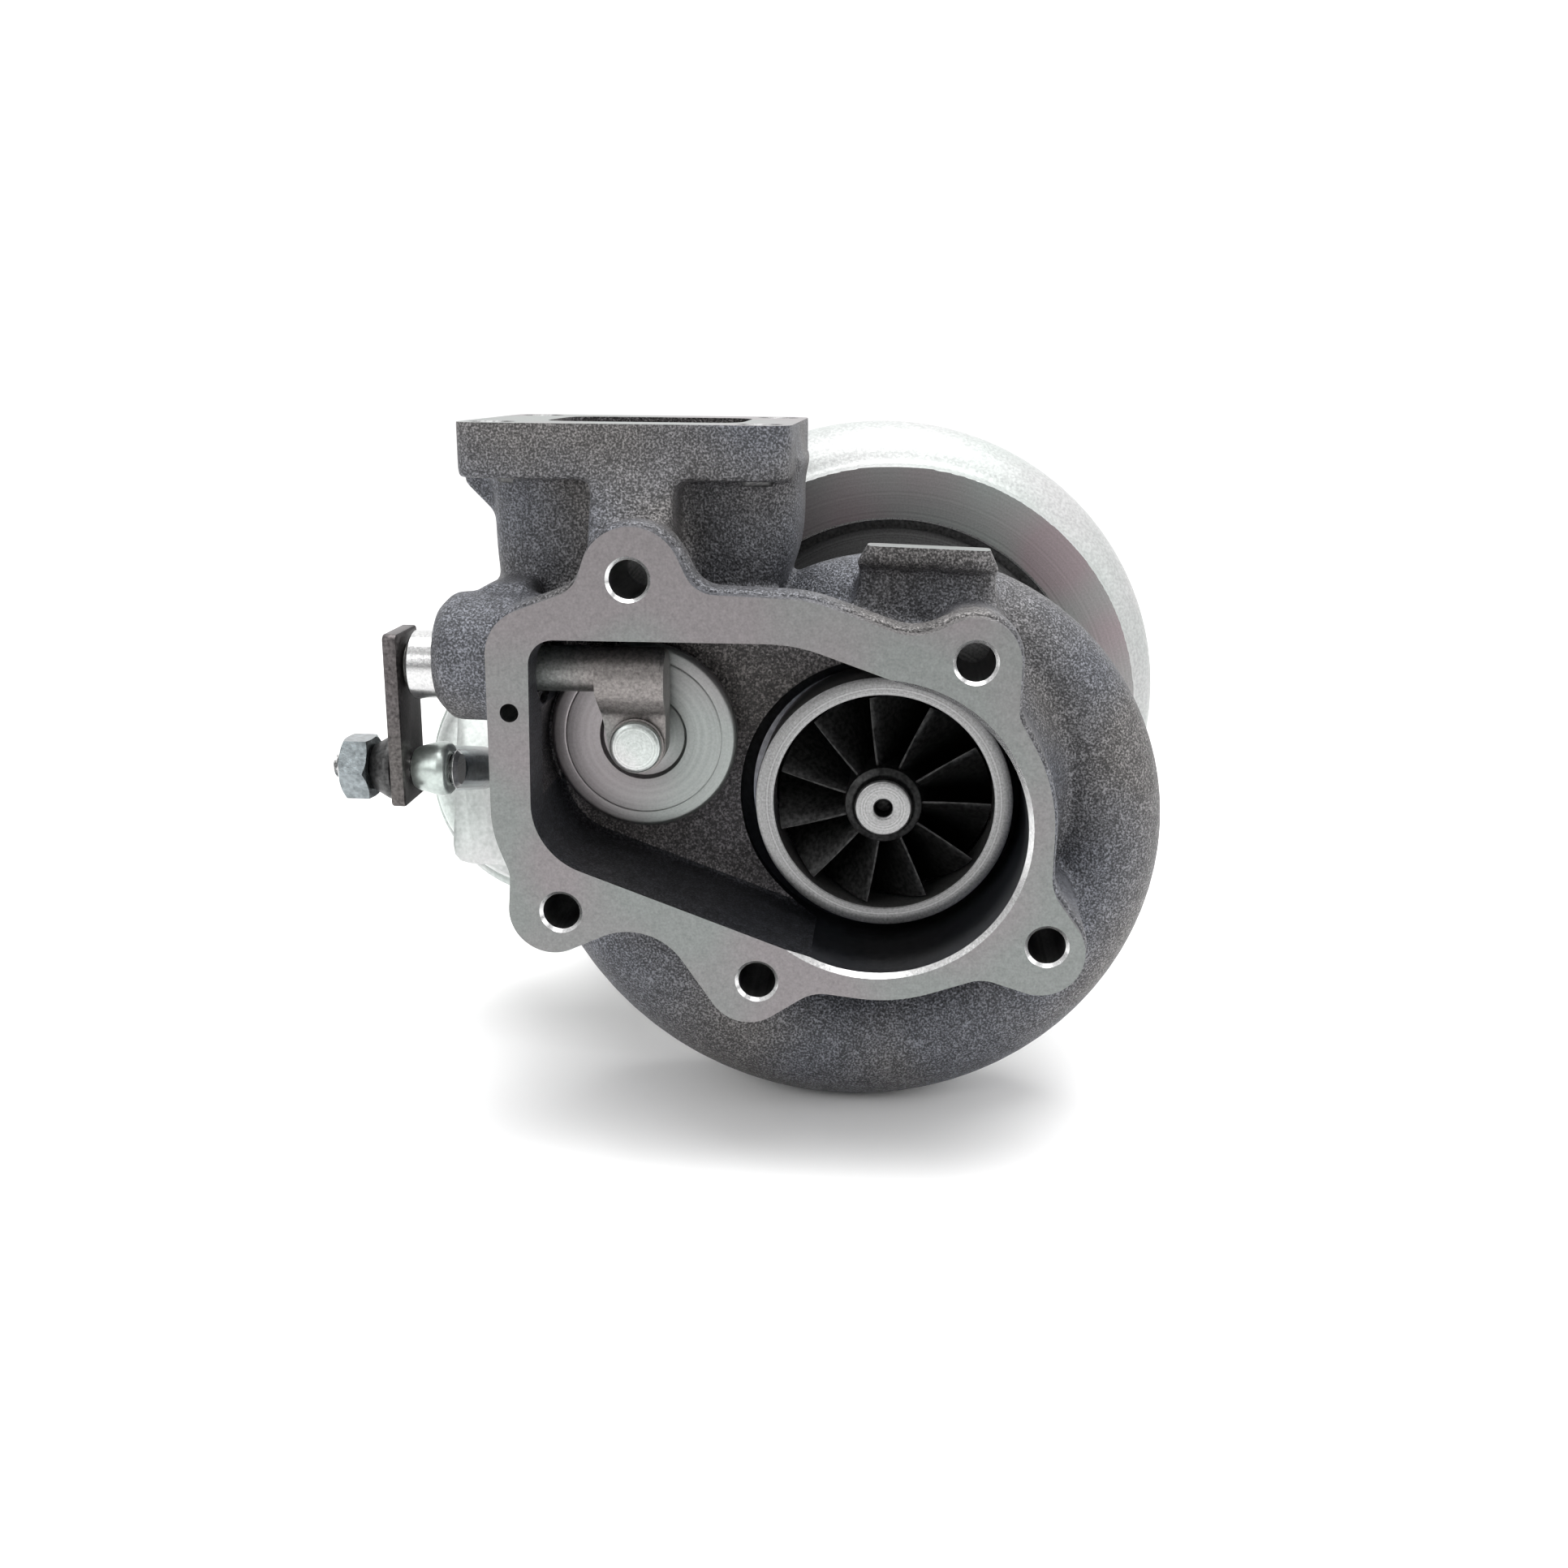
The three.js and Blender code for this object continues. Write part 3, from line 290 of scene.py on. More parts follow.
def drilled(axis, r, lo, hi, at, finish=None, mouth=1.2, face="lo"):
    """A cutter for a drilled hole, countersunk at its face, lo or hi, and running a little past it."""
    past = 1.0
    wide = r + mouth + past
    if face == "lo":
        profile = [(0, lo - past), (wide, lo - past), (r, lo + mouth), (r, hi), (0, hi)]
    else:
        profile = [(0, lo), (r, lo), (r, hi - mouth), (wide, hi + past), (0, hi + past)]
    return lathe(profile, finish, axis, at, 64, round_off=0)


def bars(r, lo, hi, places, finish=None):
    """Bars along Y, as bosses or as cutters for holes."""
    return [bar("y", r, lo, hi, at, finish) for at in places]


def threaded(axis, r, lo, hi, at, finish=None, pitch=1.0, turns_from=None, turns_to=None, segments=40):
    """A round bar with a helical thread cut between two heights and a chamfer on both ends."""
    turns_from = lo if turns_from is None else turns_from
    turns_to = hi if turns_to is None else turns_to
    depth, step = pitch * 0.55, pitch / 6
    levels = sorted({lo, lo + depth, hi - depth, hi}
                    | {turns_from + step * k for k in range(int((turns_to - turns_from) / step) + 1)})
    rings = []
    for w in levels:
        ring = []
        for i in range(segments):
            share = i / segments
            groove = 0.0
            if turns_from <= w <= turns_to:
                groove = depth * (1 - abs(2 * ((w / pitch - share) % 1.0) - 1))
            groove = max(groove, depth - (w - lo), depth - (hi - w), 0.0)
            u, v = polar(r - groove, 360 * share)
            ring.append(turn_to(axis, at[0] + u, at[1] + v, w))
        rings.append(ring)
    return stacked(rings, finish)


def baked(obj):
    """The object's modifiers made part of its mesh."""
    graph = bpy.context.evaluated_depsgraph_get()
    mesh = bpy.data.meshes.new_from_object(obj.evaluated_get(graph))
    obj.modifiers.clear()
    old, obj.data = obj.data, mesh
    bpy.data.meshes.remove(old)
    return obj


def combine(base, tools, operation):
    """Joins, cuts or keeps the shared part of closed solids. A cut face takes the tool's finish."""
    tools = list(tools)
    for tool in tools:
        step = base.modifiers.new("step", "BOOLEAN")
        step.object = tool
        step.operation = operation
        step.solver = "MANIFOLD"
        step.material_mode = "TRANSFER"
    baked(base)
    for tool in tools:
        bpy.data.objects.remove(tool)
    return base


def joined(base, *parts):
    return combine(base, parts, "UNION")


def cut(base, *parts):
    return combine(base, parts, "DIFFERENCE")


def kept(base, *parts):
    return combine(base, parts, "INTERSECT")


def casting(parts, finish, voxel=0.8, rounds=18):
    """Overlapping solids made one casting, with soft fillets where they meet."""
    body = parts[0]
    bm = bmesh.new()
    for part in parts:
        bm.from_mesh(part.data)
    body.data = bpy.data.meshes.new("casting")
    bm.to_mesh(body.data)
    bm.free()
    body.data.materials.append(finish)
    for part in parts[1:]:
        bpy.data.objects.remove(part)
    skin = body.modifiers.new("skin", "REMESH")
    skin.mode = "VOXEL"
    skin.voxel_size = voxel
    soft = body.modifiers.new("soft", "SMOOTH")
    soft.factor = 0.5
    soft.iterations = rounds
    baked(body)
    for polygon in body.data.polygons:
        polygon.material_index = 0
    return body


def moved(obj, matrix):
    obj.data.transform(matrix)
    return obj


def paint(obj, finish, test):
    """Faces whose centre and normal pass the test take the finish."""
    obj.data.materials.append(finish)
    index = len(obj.data.materials) - 1
    for polygon in obj.data.polygons:
        if test(polygon.center, polygon.normal):
            polygon.material_index = index


BODY_OF = {node: body for body, nodes in RECORD["behaviour"]["bodies"].items() for node in nodes}


def publish(obj, node, sharp=30.0):
    """The finished piece stands for its CAD node, on the node's body and with its finish."""
    moved(obj, TO_ROW)
    obj.data.shade_smooth()
    obj.data.set_sharp_from_angle(angle=rad(sharp))
    obj.name = node + "_visual"
    obj.data.name = obj.name
    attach(obj, BODY_OF[node])
    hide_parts(node)


# ---- Finishes ----


class Finish:
    """A node material in object coordinates, with sizes in millimetres."""

    def __init__(self, name, metallic, roughness=0.5):
        self.material = bpy.data.materials.new(name)
        self.material.use_nodes = True
        self.tree = self.material.node_tree
        self.shader = self.tree.nodes["Principled BSDF"]
        self.shader.inputs["Metallic"].default_value = metallic
        self.shader.inputs["Roughness"].default_value = roughness
        self.place = self.node("TexCoord").outputs["Object"]
        self.normal = None

    def node(self, kind, inputs=None, **settings):
        made = self.tree.nodes.new("ShaderNode" + kind)
        for key, value in settings.items():
            setattr(made, key, value)
        for key, value in (inputs or {}).items():
            if isinstance(value, bpy.types.NodeSocket):
                self.tree.links.new(value, made.inputs[key])
            else:
                made.inputs[key].default_value = value
        return made

    def vector(self, operation, a, b):
        return self.node("VectorMath", {0: a, 1: b}, operation=operation).outputs[0]

    def noise(self, size, detail=3.0, stretch=None):
        place = self.vector("MULTIPLY", self.place, stretch) if stretch else self.place
        inputs = {"Vector": place, "Scale": 1 / (size * MM), "Detail": detail}
        return self.node("TexNoise", inputs).outputs[0]

    def cells(self, size):
        inputs = {"Vector": self.place, "Scale": 1 / (size * MM)}
        return self.node("TexVoronoi", inputs).outputs["Distance"]

    def rings(self, axis, at, pitch):
        """Turning marks round a line along an axis through at, in millimetres about the rotor axis."""
        centre = TO_ROW @ Vector(turn_to(axis, at[0], at[1], 0.0))
        mask = tuple(0.0 if letter == axis else 1.0 for letter in "xyz")
        flat = self.vector("MULTIPLY", self.vector("SUBTRACT", self.place, tuple(centre)), mask)
        length = self.node("VectorMath", {0: flat}, operation="LENGTH").outputs["Value"]
        inputs = {"W": length, "Scale": 1 / (pitch * MM), "Detail": 4.0}
        return self.node("TexNoise", inputs, noise_dimensions="1D").outputs[0]

    def scalar(self, operation, a, b):
        return self.node("Math", {0: a, 1: b}, operation=operation).outputs[0]

    def blend(self, a, b, share):
        """The first value for a share of the whole, and the second for the rest."""
        return self.scalar("ADD", self.scalar("MULTIPLY", a, share), self.scalar("MULTIPLY", b, 1 - share))

    def ramp(self, factor, *stops):
        made = self.node("ValToRGB", {"Fac": factor})
        elements = made.color_ramp.elements
        while len(elements) < len(stops):
            elements.new(0.5)
        for element, (position, colour) in zip(elements, stops):
            element.position = position
            colour = colour if isinstance(colour, tuple) else (colour,) * 3
            element.color = (*colour, 1.0)
        return made.outputs["Color"]

    def tinted(self, a, b):
        inputs = {0: 1.0, 6: a, 7: b}
        return self.node("Mix", inputs, data_type="RGBA", blend_type="MULTIPLY").outputs[2]

    def colour(self, value):
        self.tree.links.new(value, self.shader.inputs["Base Color"])

    def rough(self, factor, low, high):
        made = self.node("MapRange", {"Value": factor, "To Min": low, "To Max": high})
        self.tree.links.new(made.outputs[0], self.shader.inputs["Roughness"])

    def relief(self, height, depth, strength=1.0):
        inputs = {"Height": height, "Distance": depth * MM, "Strength": strength}
        if self.normal is not None:
            inputs["Normal"] = self.normal
        self.normal = self.node("Bump", inputs).outputs[0]
        self.tree.links.new(self.normal, self.shader.inputs["Normal"])


def cast_finish(name, tones, tints, grain=0.55, metallic=0.55, depth=0.16, rough=(0.42, 0.68)):
    """A sand-cast and shot-blasted skin: close grains with bright facets, and slow changes of tint."""
    f = Finish(name, metallic)
    grains, cells, lumps, tint = f.noise(grain, 2.0), f.cells(grain * 1.6), f.noise(3.2), f.noise(38.0, 1.5)
    base = f.ramp(f.blend(grains, lumps, 0.85), *zip((0.4, 0.5, 0.66), tones))
    f.colour(f.tinted(base, f.ramp(tint, *zip((0.4, 0.62), tints))))
    f.rough(grains, *rough)
    f.relief(lumps, 0.22, 0.5)
    f.relief(cells, depth, 0.5)
    f.relief(grains, depth, 0.8)
    return f.material


def turned(pitch, at=(0, 0), axis="y"):
    """Turning marks about the rotor axis, or about another line."""
    return axis, at, pitch


def machined(name, low, high, rings=None, grain=0.5, metallic=0.9, rough=(0.28, 0.45), depth=0.02, tint=None):
    """A cut metal surface: fine tool marks, in rings where it was turned, over a close grain."""
    f = Finish(name, metallic)
    grains, fine = f.noise(grain, 4.0), f.noise(0.22, 2.0)
    marks = f.rings(*rings) if rings else f.noise(0.9, 4.0)
    mixed = f.blend(grains, marks, 0.55)
    base = f.ramp(mixed, (0.36, low), (0.64, high))
    if tint:
        base = f.tinted(base, f.ramp(f.noise(34.0, 1.0), *zip((0.42, 0.6), tint)))
    f.colour(base)
    f.rough(mixed, *rough)
    f.relief(marks, depth * 1.5, 0.5)
    f.relief(fine, depth, 0.6)
    return f.material


def plain(name, metallic, sizes, low, high, rough, depth, strength, stretch=None):
    """A fine, even surface, with a size of grain for its colour, its polish and its relief."""
    f = Finish(name, metallic)
    f.colour(f.ramp(f.noise(sizes[0]), (0.35, low), (0.65, high)))
    f.rough(f.noise(sizes[1]), *rough)
    f.relief(f.noise(sizes[2], 3.0, stretch), depth, strength)
    return f.material


WHITE, WARM, COOL, BLUE = (1.0, 1.0, 1.0), (1.0, 0.93, 0.90), (0.92, 0.92, 1.0), (0.86, 0.96, 1.0)
GREEN, PINK, SLATE = (0.94, 1.0, 0.97), (1.0, 0.93, 0.95), (0.86, 0.89, 1.0)
TINGE = (GREEN, PINK)
CAST_IRON = cast_finish("cast_iron", (0.045, 0.095, 0.27), ((1.0, 0.96, 0.95), SLATE), 0.45, depth=0.3)
CHAMBER_IRON = cast_finish("chamber_iron", (0.028, 0.06, 0.2), (WARM, (0.95, 0.9, 0.95)), 0.45, depth=0.3)
# Painted shade: a much darker, bluer cast skin for the outlet chamber's side walls, standing in for the shade
# in that recess.
CHAMBER_WALL_SHADE = cast_finish("chamber_wall_painted_shade", (0.014, 0.03, 0.09), (COOL, (0.82, 0.86, 1.0)), 0.45)
BEARING_IRON = cast_finish("bearing_iron", (0.07, 0.12, 0.3), (WARM, COOL))
CAST_ALUMINIUM = cast_finish("cast_aluminium", (0.35, 0.4, 0.46), (GREEN, WHITE), 0.8, 0.45, 0.06,
                             (0.4, 0.55))
MILLED_IRON = machined("milled_iron", 0.16, 0.225, metallic=0.7, rough=(0.36, 0.5), tint=TINGE)
BOWL_IRON = machined("bowl_iron", 0.07, 0.13, grain=1.5, rough=(0.16, 0.28), tint=(COOL, (0.8, 0.85, 1.0)))
BORED_IRON = machined("bored_iron", 0.09, 0.2, turned(0.5), rough=(0.25, 0.4))
TURNED_COLLAR = machined("turned_collar", 0.15, 0.3, turned(0.35), rough=(0.25, 0.4))
# Painted highlight: a bright finish for the sloped chamfers at the outlet face, standing in for the light
# they catch.
CHAMFER_HIGHLIGHT = machined("chamfer_painted_highlight", 0.5, 0.7, rough=(0.15, 0.25))
FACED_ALUMINIUM = machined("faced_aluminium", 0.26, 0.34, turned(0.6), rough=(0.3, 0.42),
                           tint=(GREEN, (1.0, 0.84, 0.88)))
BORED_ALUMINIUM = machined("bored_aluminium", 0.42, 0.6, turned(0.6), rough=(0.22, 0.34))
TURNED_OUTLET = machined("turned_outlet", 0.38, 0.52, grain=0.8, rough=(0.24, 0.36))
# Painted shade: the seal plate is aluminium, but toned dark for the shade it sits in behind the cover's snap
# ring.
SHADED_PLATE_ALUMINIUM = machined("plate_aluminium_painted_shade", 0.1, 0.18, turned(0.6), rough=(0.34, 0.46))
DARK_ALLOY = machined("dark_alloy", 0.012, 0.04, grain=0.9, metallic=0.85, rough=(0.3, 0.48), depth=0.04)
NOSE = machined("turned_nose", 0.2, 0.36, turned(0.3), rough=(0.28, 0.4))
VALVE_STEEL = machined("valve_steel", 0.25, 0.32, turned(0.9, VALVE_AT), rough=(0.34, 0.48), tint=TINGE)
RIVET_STEEL = machined("rivet_steel", 0.38, 0.58, turned(0.3, VALVE_AT), rough=(0.25, 0.4), tint=TINGE)
ARM_STEEL = machined("arm_steel", 0.13, 0.27, rough=(0.36, 0.52), depth=0.04, tint=(WARM, GREEN))
BUSH_STEEL = machined("bush_steel", 0.34, 0.58, turned(0.3, SHAFT_AT, "x"), rough=(0.14, 0.26))
LEVER_STEEL = machined("lever_steel", 0.05, 0.14, grain=0.6, rough=(0.3, 0.5), depth=0.04,
                       tint=(WARM, (1, 0.9, 0.92)))
ZINC = machined("zinc", 0.15, 0.32, grain=2.0, rough=(0.12, 0.24), tint=(BLUE, WHITE))
PALE_ZINC = machined("pale_zinc", 0.4, 0.54, grain=1.4, metallic=0.8, rough=(0.26, 0.36),
                     tint=((0.9, 1.0, 0.95), WHITE))
STEEL = machined("steel", 0.34, 0.54, turned(0.35), rough=(0.2, 0.34))
BLACK_STEEL = machined("black_steel", 0.03, 0.09, grain=0.8, rough=(0.32, 0.5))
WHEEL_ALUMINIUM = machined("wheel_aluminium", 0.5, 0.68, turned(0.5), rough=(0.2, 0.32))
BRONZE = plain("bronze", 1.0, (0.8, 0.6, 0.3), (0.42, 0.26, 0.09), (0.66, 0.45, 0.19), (0.22, 0.4), 0.02, 0.6,
               (0.1, 1, 1))
RUBBER = plain("rubber", 0.0, (0.9, 0.7, 0.5), 0.012, 0.03, (0.6, 0.85), 0.03, 0.7)


# ---- Turbine housing ----

SCROLL_START_R, SCROLL_END_R, SCROLL_TRAVEL, SCROLL_LAST = 86.0, 51.0, 270.0, 315.0


def scroll_outer_r(travel):
    share = min(max((travel - 30) / (SCROLL_TRAVEL - 20), 0.0), 1.0)
    return SCROLL_END_R + (SCROLL_START_R - SCROLL_END_R) * (1 + math.cos(math.pi * share)) / 2


def scroll_tube_r(travel):
    return 20.5 - 9 * min(travel / SCROLL_TRAVEL, 1.15)


START_R = scroll_tube_r(0)
START_X = START_R - SCROLL_START_R


def tube_ring(degrees, centre, tube, mid_y, sides=40):
    """A ring of a scroll's tube, flattened where it would meet the floor."""
    ring = []
    for i in range(sides):
        turn = math.tau * i / sides
        x, z = polar(centre + tube * math.cos(turn), degrees)
        ring.append((x, mid_y + tube * math.sin(turn), max(z, FLOOR_Z + 0.05)))
    return ring


def scroll(shrink, last, step=4.5):
    rings = []
    for k in range(int(last / step) + 1):
        travel = k * step
        tube = scroll_tube_r(travel)
        rings.append(tube_ring(180 + travel, scroll_outer_r(travel) - tube, tube - shrink, SCROLL_Y))
    return stacked(rings, CHAMBER_IRON)


def duct(rows, steps=8, sides=72):
    """A duct through rows of (x, y, half x, half y, power, z): power 2 is an ellipse, 6 nearly a box."""
    rings = []
    for x, y, hx, hy, power, z in through(rows, steps):
        ring = []
        for i in range(sides):
            turn = math.tau * (i + 0.5) / sides
            c, s = math.cos(turn), math.sin(turn)
            ring.append((x + hx * math.copysign(abs(c) ** (2 / power), c),
                         y + hy * math.copysign(abs(s) ** (2 / power), s), z))
        rings.append(ring)
    return stacked(rings, CHAMBER_IRON)


def duct_casting():
    """The inlet duct, running down into the scroll, and its neck under the flange."""
    neck_y = 31.5
    return [
        duct([(-54.4, neck_y, 33.9, 21.5, 5, 75.4), (-54.9, neck_y, 33.4, 21.5, 5, 50),
              (-60, 31, 26, 20.5, 3, 26), (START_X, SCROLL_Y, START_R, START_R, 2, -2)]),
        duct([(-54.8, neck_y, 35.6, 23.4, 6, 72), (-54.6, neck_y, 34.3, 22.1, 6, 67),
              (-54.5, neck_y, 33.6, 21.6, 6, 62)], 3),
        prism(rounded_box(-56.5, 31, 35.5, 31, 5), INLET_TOP_Z - INLET_FLANGE_T, INLET_TOP_Z + 2,
              axis="z"),
    ]


def housing_casting():
    """The raw casting: scroll, ducts, chamber, outlet flange, gussets, shaft boss, ledges and pads."""
    back = OUTLET_FACE_Y + 11.5
    rough = [
        scroll(0.0, SCROLL_LAST),
        *duct_casting(),
        lathe([(0, 1), (34, 1), (40, 14), (49.5, 30), (49.5, 42), (0, 42)], round_off=0),
        prism(belt(grown(CHAMBER_OUTLINE, 6.5)), OUTLET_FACE_Y + 4, POCKET_FLOOR_Y + 6),
        prism(belt(grown(FLANGE_OUTLINE, 0.9)), OUTLET_FACE_Y + 3.4, back),
        prism([(-1, 70), (-6.5, 56), (-6.5, 40), (22, 40), (22, 70)], -62.5, -45, axis="x"),
        prism(rounded([(-62.5, 44), (-45, 44), (-45, 68.5), (-39, 68.5), (-39, 71), (-68.5, 71),
                       (-68.5, 68.5), (-62.5, 68.5)], 5), -0.5, 22),
        bar("x", 13.7, BOSS_END_X - 0.8, -70, (SHAFT_Y, SHAFT_Z + 2.2), edge=3.6),
        prism([(-95, 69), (-95, 66), (-88, 59), (-80, 53), (-80, 69)], 18, 43),
        prism(rounded([(-85, 46.5), (-87, 44.5), (-90, 43.6), (-90, 34), (-76, 34), (-76, 46.5)], 2), -3, 24),
        prism([(-9, 36), (25, 34), (22, 51), (-6, 51.6)], 10.5, 20),
        prism([(-7.6, 50.2), (23.4, 49.2), (20, 56.5), (-3.6, 57)], 7.3, 13.7),
    ]
    rough += bars(8.5, back - 1, SCROLL_Y - 11, EARS)
    return casting(rough, CAST_IRON)


def machined_faces(body):
    """The outlet flange's plate added, then the inlet flange, the pad and the shaft boss faced off."""
    body = joined(body, prism(belt(FLANGE_OUTLINE), OUTLET_FACE_Y + 0.01, OUTLET_FACE_Y + 6, CAST_IRON))
    far = 200
    return cut(
        body,
        prism(rect(-far, INLET_TOP_Z, far, far), -far, far, MILLED_IRON),
        prism([(-5, 54.6), (21.5, 53.9), (21.5, 60), (-5, 60)], 4, 16, MILLED_IRON),
        bar("x", 20, -110, BOSS_END_X, (SHAFT_Y, SHAFT_Z + 1), BORED_IRON),
    )


def outlet_chamber(body):
    """The chamber, the collar's bowl and the valve disc's room, then the disc's seat and the collar."""
    levels = [(0.0, -19.0), (0.0, 7.3), (-0.35, 8.8), (-1.2, 9.9), (-3.0, POCKET_FLOOR_Y)]
    rings = [[(u, y, v) for u, v in belt(grown(CHAMBER_OUTLINE, by))] for by, y in levels]
    hollow = stacked(rings, CHAMBER_IRON)
    # The chamber's side walls take the darker skin: painted shade in the recess, not a different metal.
    paint(hollow, CHAMBER_WALL_SHADE, lambda c, n: abs(n.y) < 0.7)
    wall = BOWL[2] + 0.15
    bowl = lathe([(0, -19), (wall + 2.0, -19), (wall, -17.0), (wall, 13), (wall - 2.5, 15.5), (0, 15.5)],
                 BOWL_IRON, "y", BOWL[:2], 128, 0)
    room = bar("y", VALVE_R + 1.6, -7, SEAT_Y, (VALVE_X, VALVE_Z - 1.5), CHAMBER_IRON, segments=96)
    body = cut(body, hollow, bowl, room)
    seat = bar("y", 19, SEAT_Y, POCKET_FLOOR_Y + 2, VALVE_AT, BORED_IRON, 0.4)
    collar = lathe(rect(COLLAR_BORE_R, 0, COLLAR_R, 20), TURNED_COLLAR, segments=128, round_off=0.7)
    return joined(body, seat, collar)


def gas_path():
    """Cutters for the scroll, inlet duct, valve port, wheel's room and rear bore."""
    wheel_room = [
        (0, -2), (COLLAR_BORE_R, -2), (COLLAR_BORE_R, 8), (24.6, 14), (25.8, 18), (27.6, 21.4),
        (44, 21.4), (44, 28.8), (34, 28.8), (34, 36), (36.2, 36), (36.2, 43), (0, 43),
    ]
    bore_r = START_R - WALL
    return [
        scroll(WALL, 292.5),
        duct([(-54.5, 31, 21.5, 17, 6, INLET_TOP_Z + 2), (-54.5, 31, 21.5, 17, 6, INLET_TOP_Z - 12),
              (START_X + 3, SCROLL_Y + 2, bore_r + 1, bore_r, 3, 28),
              (START_X, SCROLL_Y, bore_r, bore_r, 2, -0.5)]),
        bar("y", 14.5, SEAT_Y - 1, SCROLL_Y, VALVE_AT, BORED_IRON),
        lathe(wheel_room, TURNED_COLLAR, segments=128, round_off=0),
        bar("y", 50.5, 42, 60, (0, 0), BORED_IRON, segments=96),
    ]


def housing_holes():
    """Cutters for the bush, the small flange hole, the bolt holes and the clamp bolts."""
    tools = [
        drilled("x", BUSH_R + 0.3, BOSS_END_X, -70, SHAFT_AT, BORED_IRON, 0.4),
        bar("y", 1.95, OUTLET_FACE_Y - 1, -8, (-77, 22), BORED_IRON),
    ]
    tools += [drilled("y", M8_HOLE_R, OUTLET_FACE_Y, 4, at, BORED_IRON, 0.7) for at in EARS]
    for x in (-85, -28):
        for y in (7.5, 54.5):
            tools.append(drilled("z", 4.3, INLET_TOP_Z - 13, INLET_TOP_Z, (x, y), BORED_IRON, 0.7, "hi"))
    return tools + bars(M6_HOLE_R, 33, 43, CLAMP_BOLTS, BORED_IRON)


def turbine_housing():
    body = outlet_chamber(machined_faces(housing_casting()))
    body = cut(body, *gas_path(), *housing_holes())
    paint(body, MILLED_IRON, lambda c, n: n.y < -0.99 and c.y < OUTLET_FACE_Y + 0.1)
    # The bolt-hole countersinks, the bowl's chamfer and the broken edges just behind the outlet face take a
    # painted highlight.
    paint(body, CHAMFER_HIGHLIGHT, lambda c, n: OUTLET_FACE_Y < c.y < OUTLET_FACE_Y + 1.3 and -0.85 < n.y < -0.5)
    publish(body, "turbine_housing")


def clamp_plates():
    for node, middle in (("turbine_clamp_plate_right", 0), ("turbine_clamp_plate_left", 180)):
        outline = rounded(sector(32.5, 48, middle - 50, 100, 32), 3.0)
        plate = prism(outline, 42.3, 45.3, BLACK_STEEL, edge=0.35)
        places = [polar(CLAMP_BOLT_R, middle + side) for side in (-35, 35)]
        publish(cut(plate, *bars(M6_HOLE_R, 42, 46, places, BLACK_STEEL)), node)


def hex_head(across, lo, hi, at, finish, axis="y", both=False, bore=0.0):
    """A hexagon with its corners turned off at the top, or at both ends, and a bore if it is a nut."""
    r = across / math.sqrt(3)
    wide, narrow, drop = r + 0.02, r - 0.9, 0.55
    foot = [(narrow - 0.02, lo), (wide, lo + drop)] if both else [(wide, lo)]
    profile = [(0, lo), *foot, (wide, hi - drop), (narrow, hi), (0, hi)]
    hexagon = [(at[0] + u, at[1] + v) for u, v in (polar(r, 60 * i) for i in range(6))]
    nut = kept(prism(hexagon, lo, hi, finish, axis), lathe(profile, finish, axis, at, 72, 0))
    if bore:
        mouth = bore + 1.6
        groove = [(0, lo - 1), (mouth, lo - 1), (bore, lo + 0.6), (bore, hi - 0.6), (mouth, hi + 1),
                  (0, hi + 1)]
        nut = cut(nut, lathe(groove, finish, axis, at, 48, 0))
    return nut


def hex_down(across, lo, hi, at, finish, bore=0.0):
    """The same, with its turned-off corners at the low end."""
    head = hex_head(across, -hi, -lo, (-at[0], at[1]), finish, bore=bore)
    return moved(head, Matrix.Rotation(math.pi, 4, "Z"))


def turbine_bolts():
    for i, at in enumerate(CLAMP_BOLTS):
        head = hex_head(10, 45.7, 50.6, at, BLACK_STEEL)
        washer = lathe(rect(0, 45.55, 5.6, 46.3), BLACK_STEEL, "y", at, 48, 0.15)
        shank = threaded("y", M6_R, 34.6, 46, at, BLACK_STEEL, 1.0, 35, 44)
        publish(joined(head, washer, shank), f"turbine_bolt_{i + 1}")


# ---- Rotor ----


def blade(hub_line, tip_line, lean, root, tip, finish, stations=10, span=6):
    """One blade between two (radius, height) lines, thick at the root and rounded along its edges."""
    hub, outer = through(hub_line, stations), through(tip_line, stations)
    rings = []
    for k, (a, b) in enumerate(zip(hub, outer)):
        along = k / (len(hub) - 1)
        fade = min(1.0, math.sqrt(max(min(along, 1 - along) / 0.05, 0.0)) * 0.75 + 0.25)
        sides = ([], [])
        for s in range(span + 1):
            share = s / span
            r, y = a[0] + (b[0] - a[0]) * share, a[1] + (b[1] - a[1]) * share
            thick = (root + (tip - root) * share) * fade
            for side, points in ((-1, sides[0]), (1, sides[1])):
                angle = rad(lean(y)) + side * thick / 2 / r
                points.append((r * math.sin(angle), y, r * math.cos(angle)))
        rings.append(sides[0] + sides[1][::-1])
    return stacked(rings, finish)


def turned_about_y(obj, degrees):
    return moved(obj, Matrix.Rotation(rad(degrees), 4, "Y"))


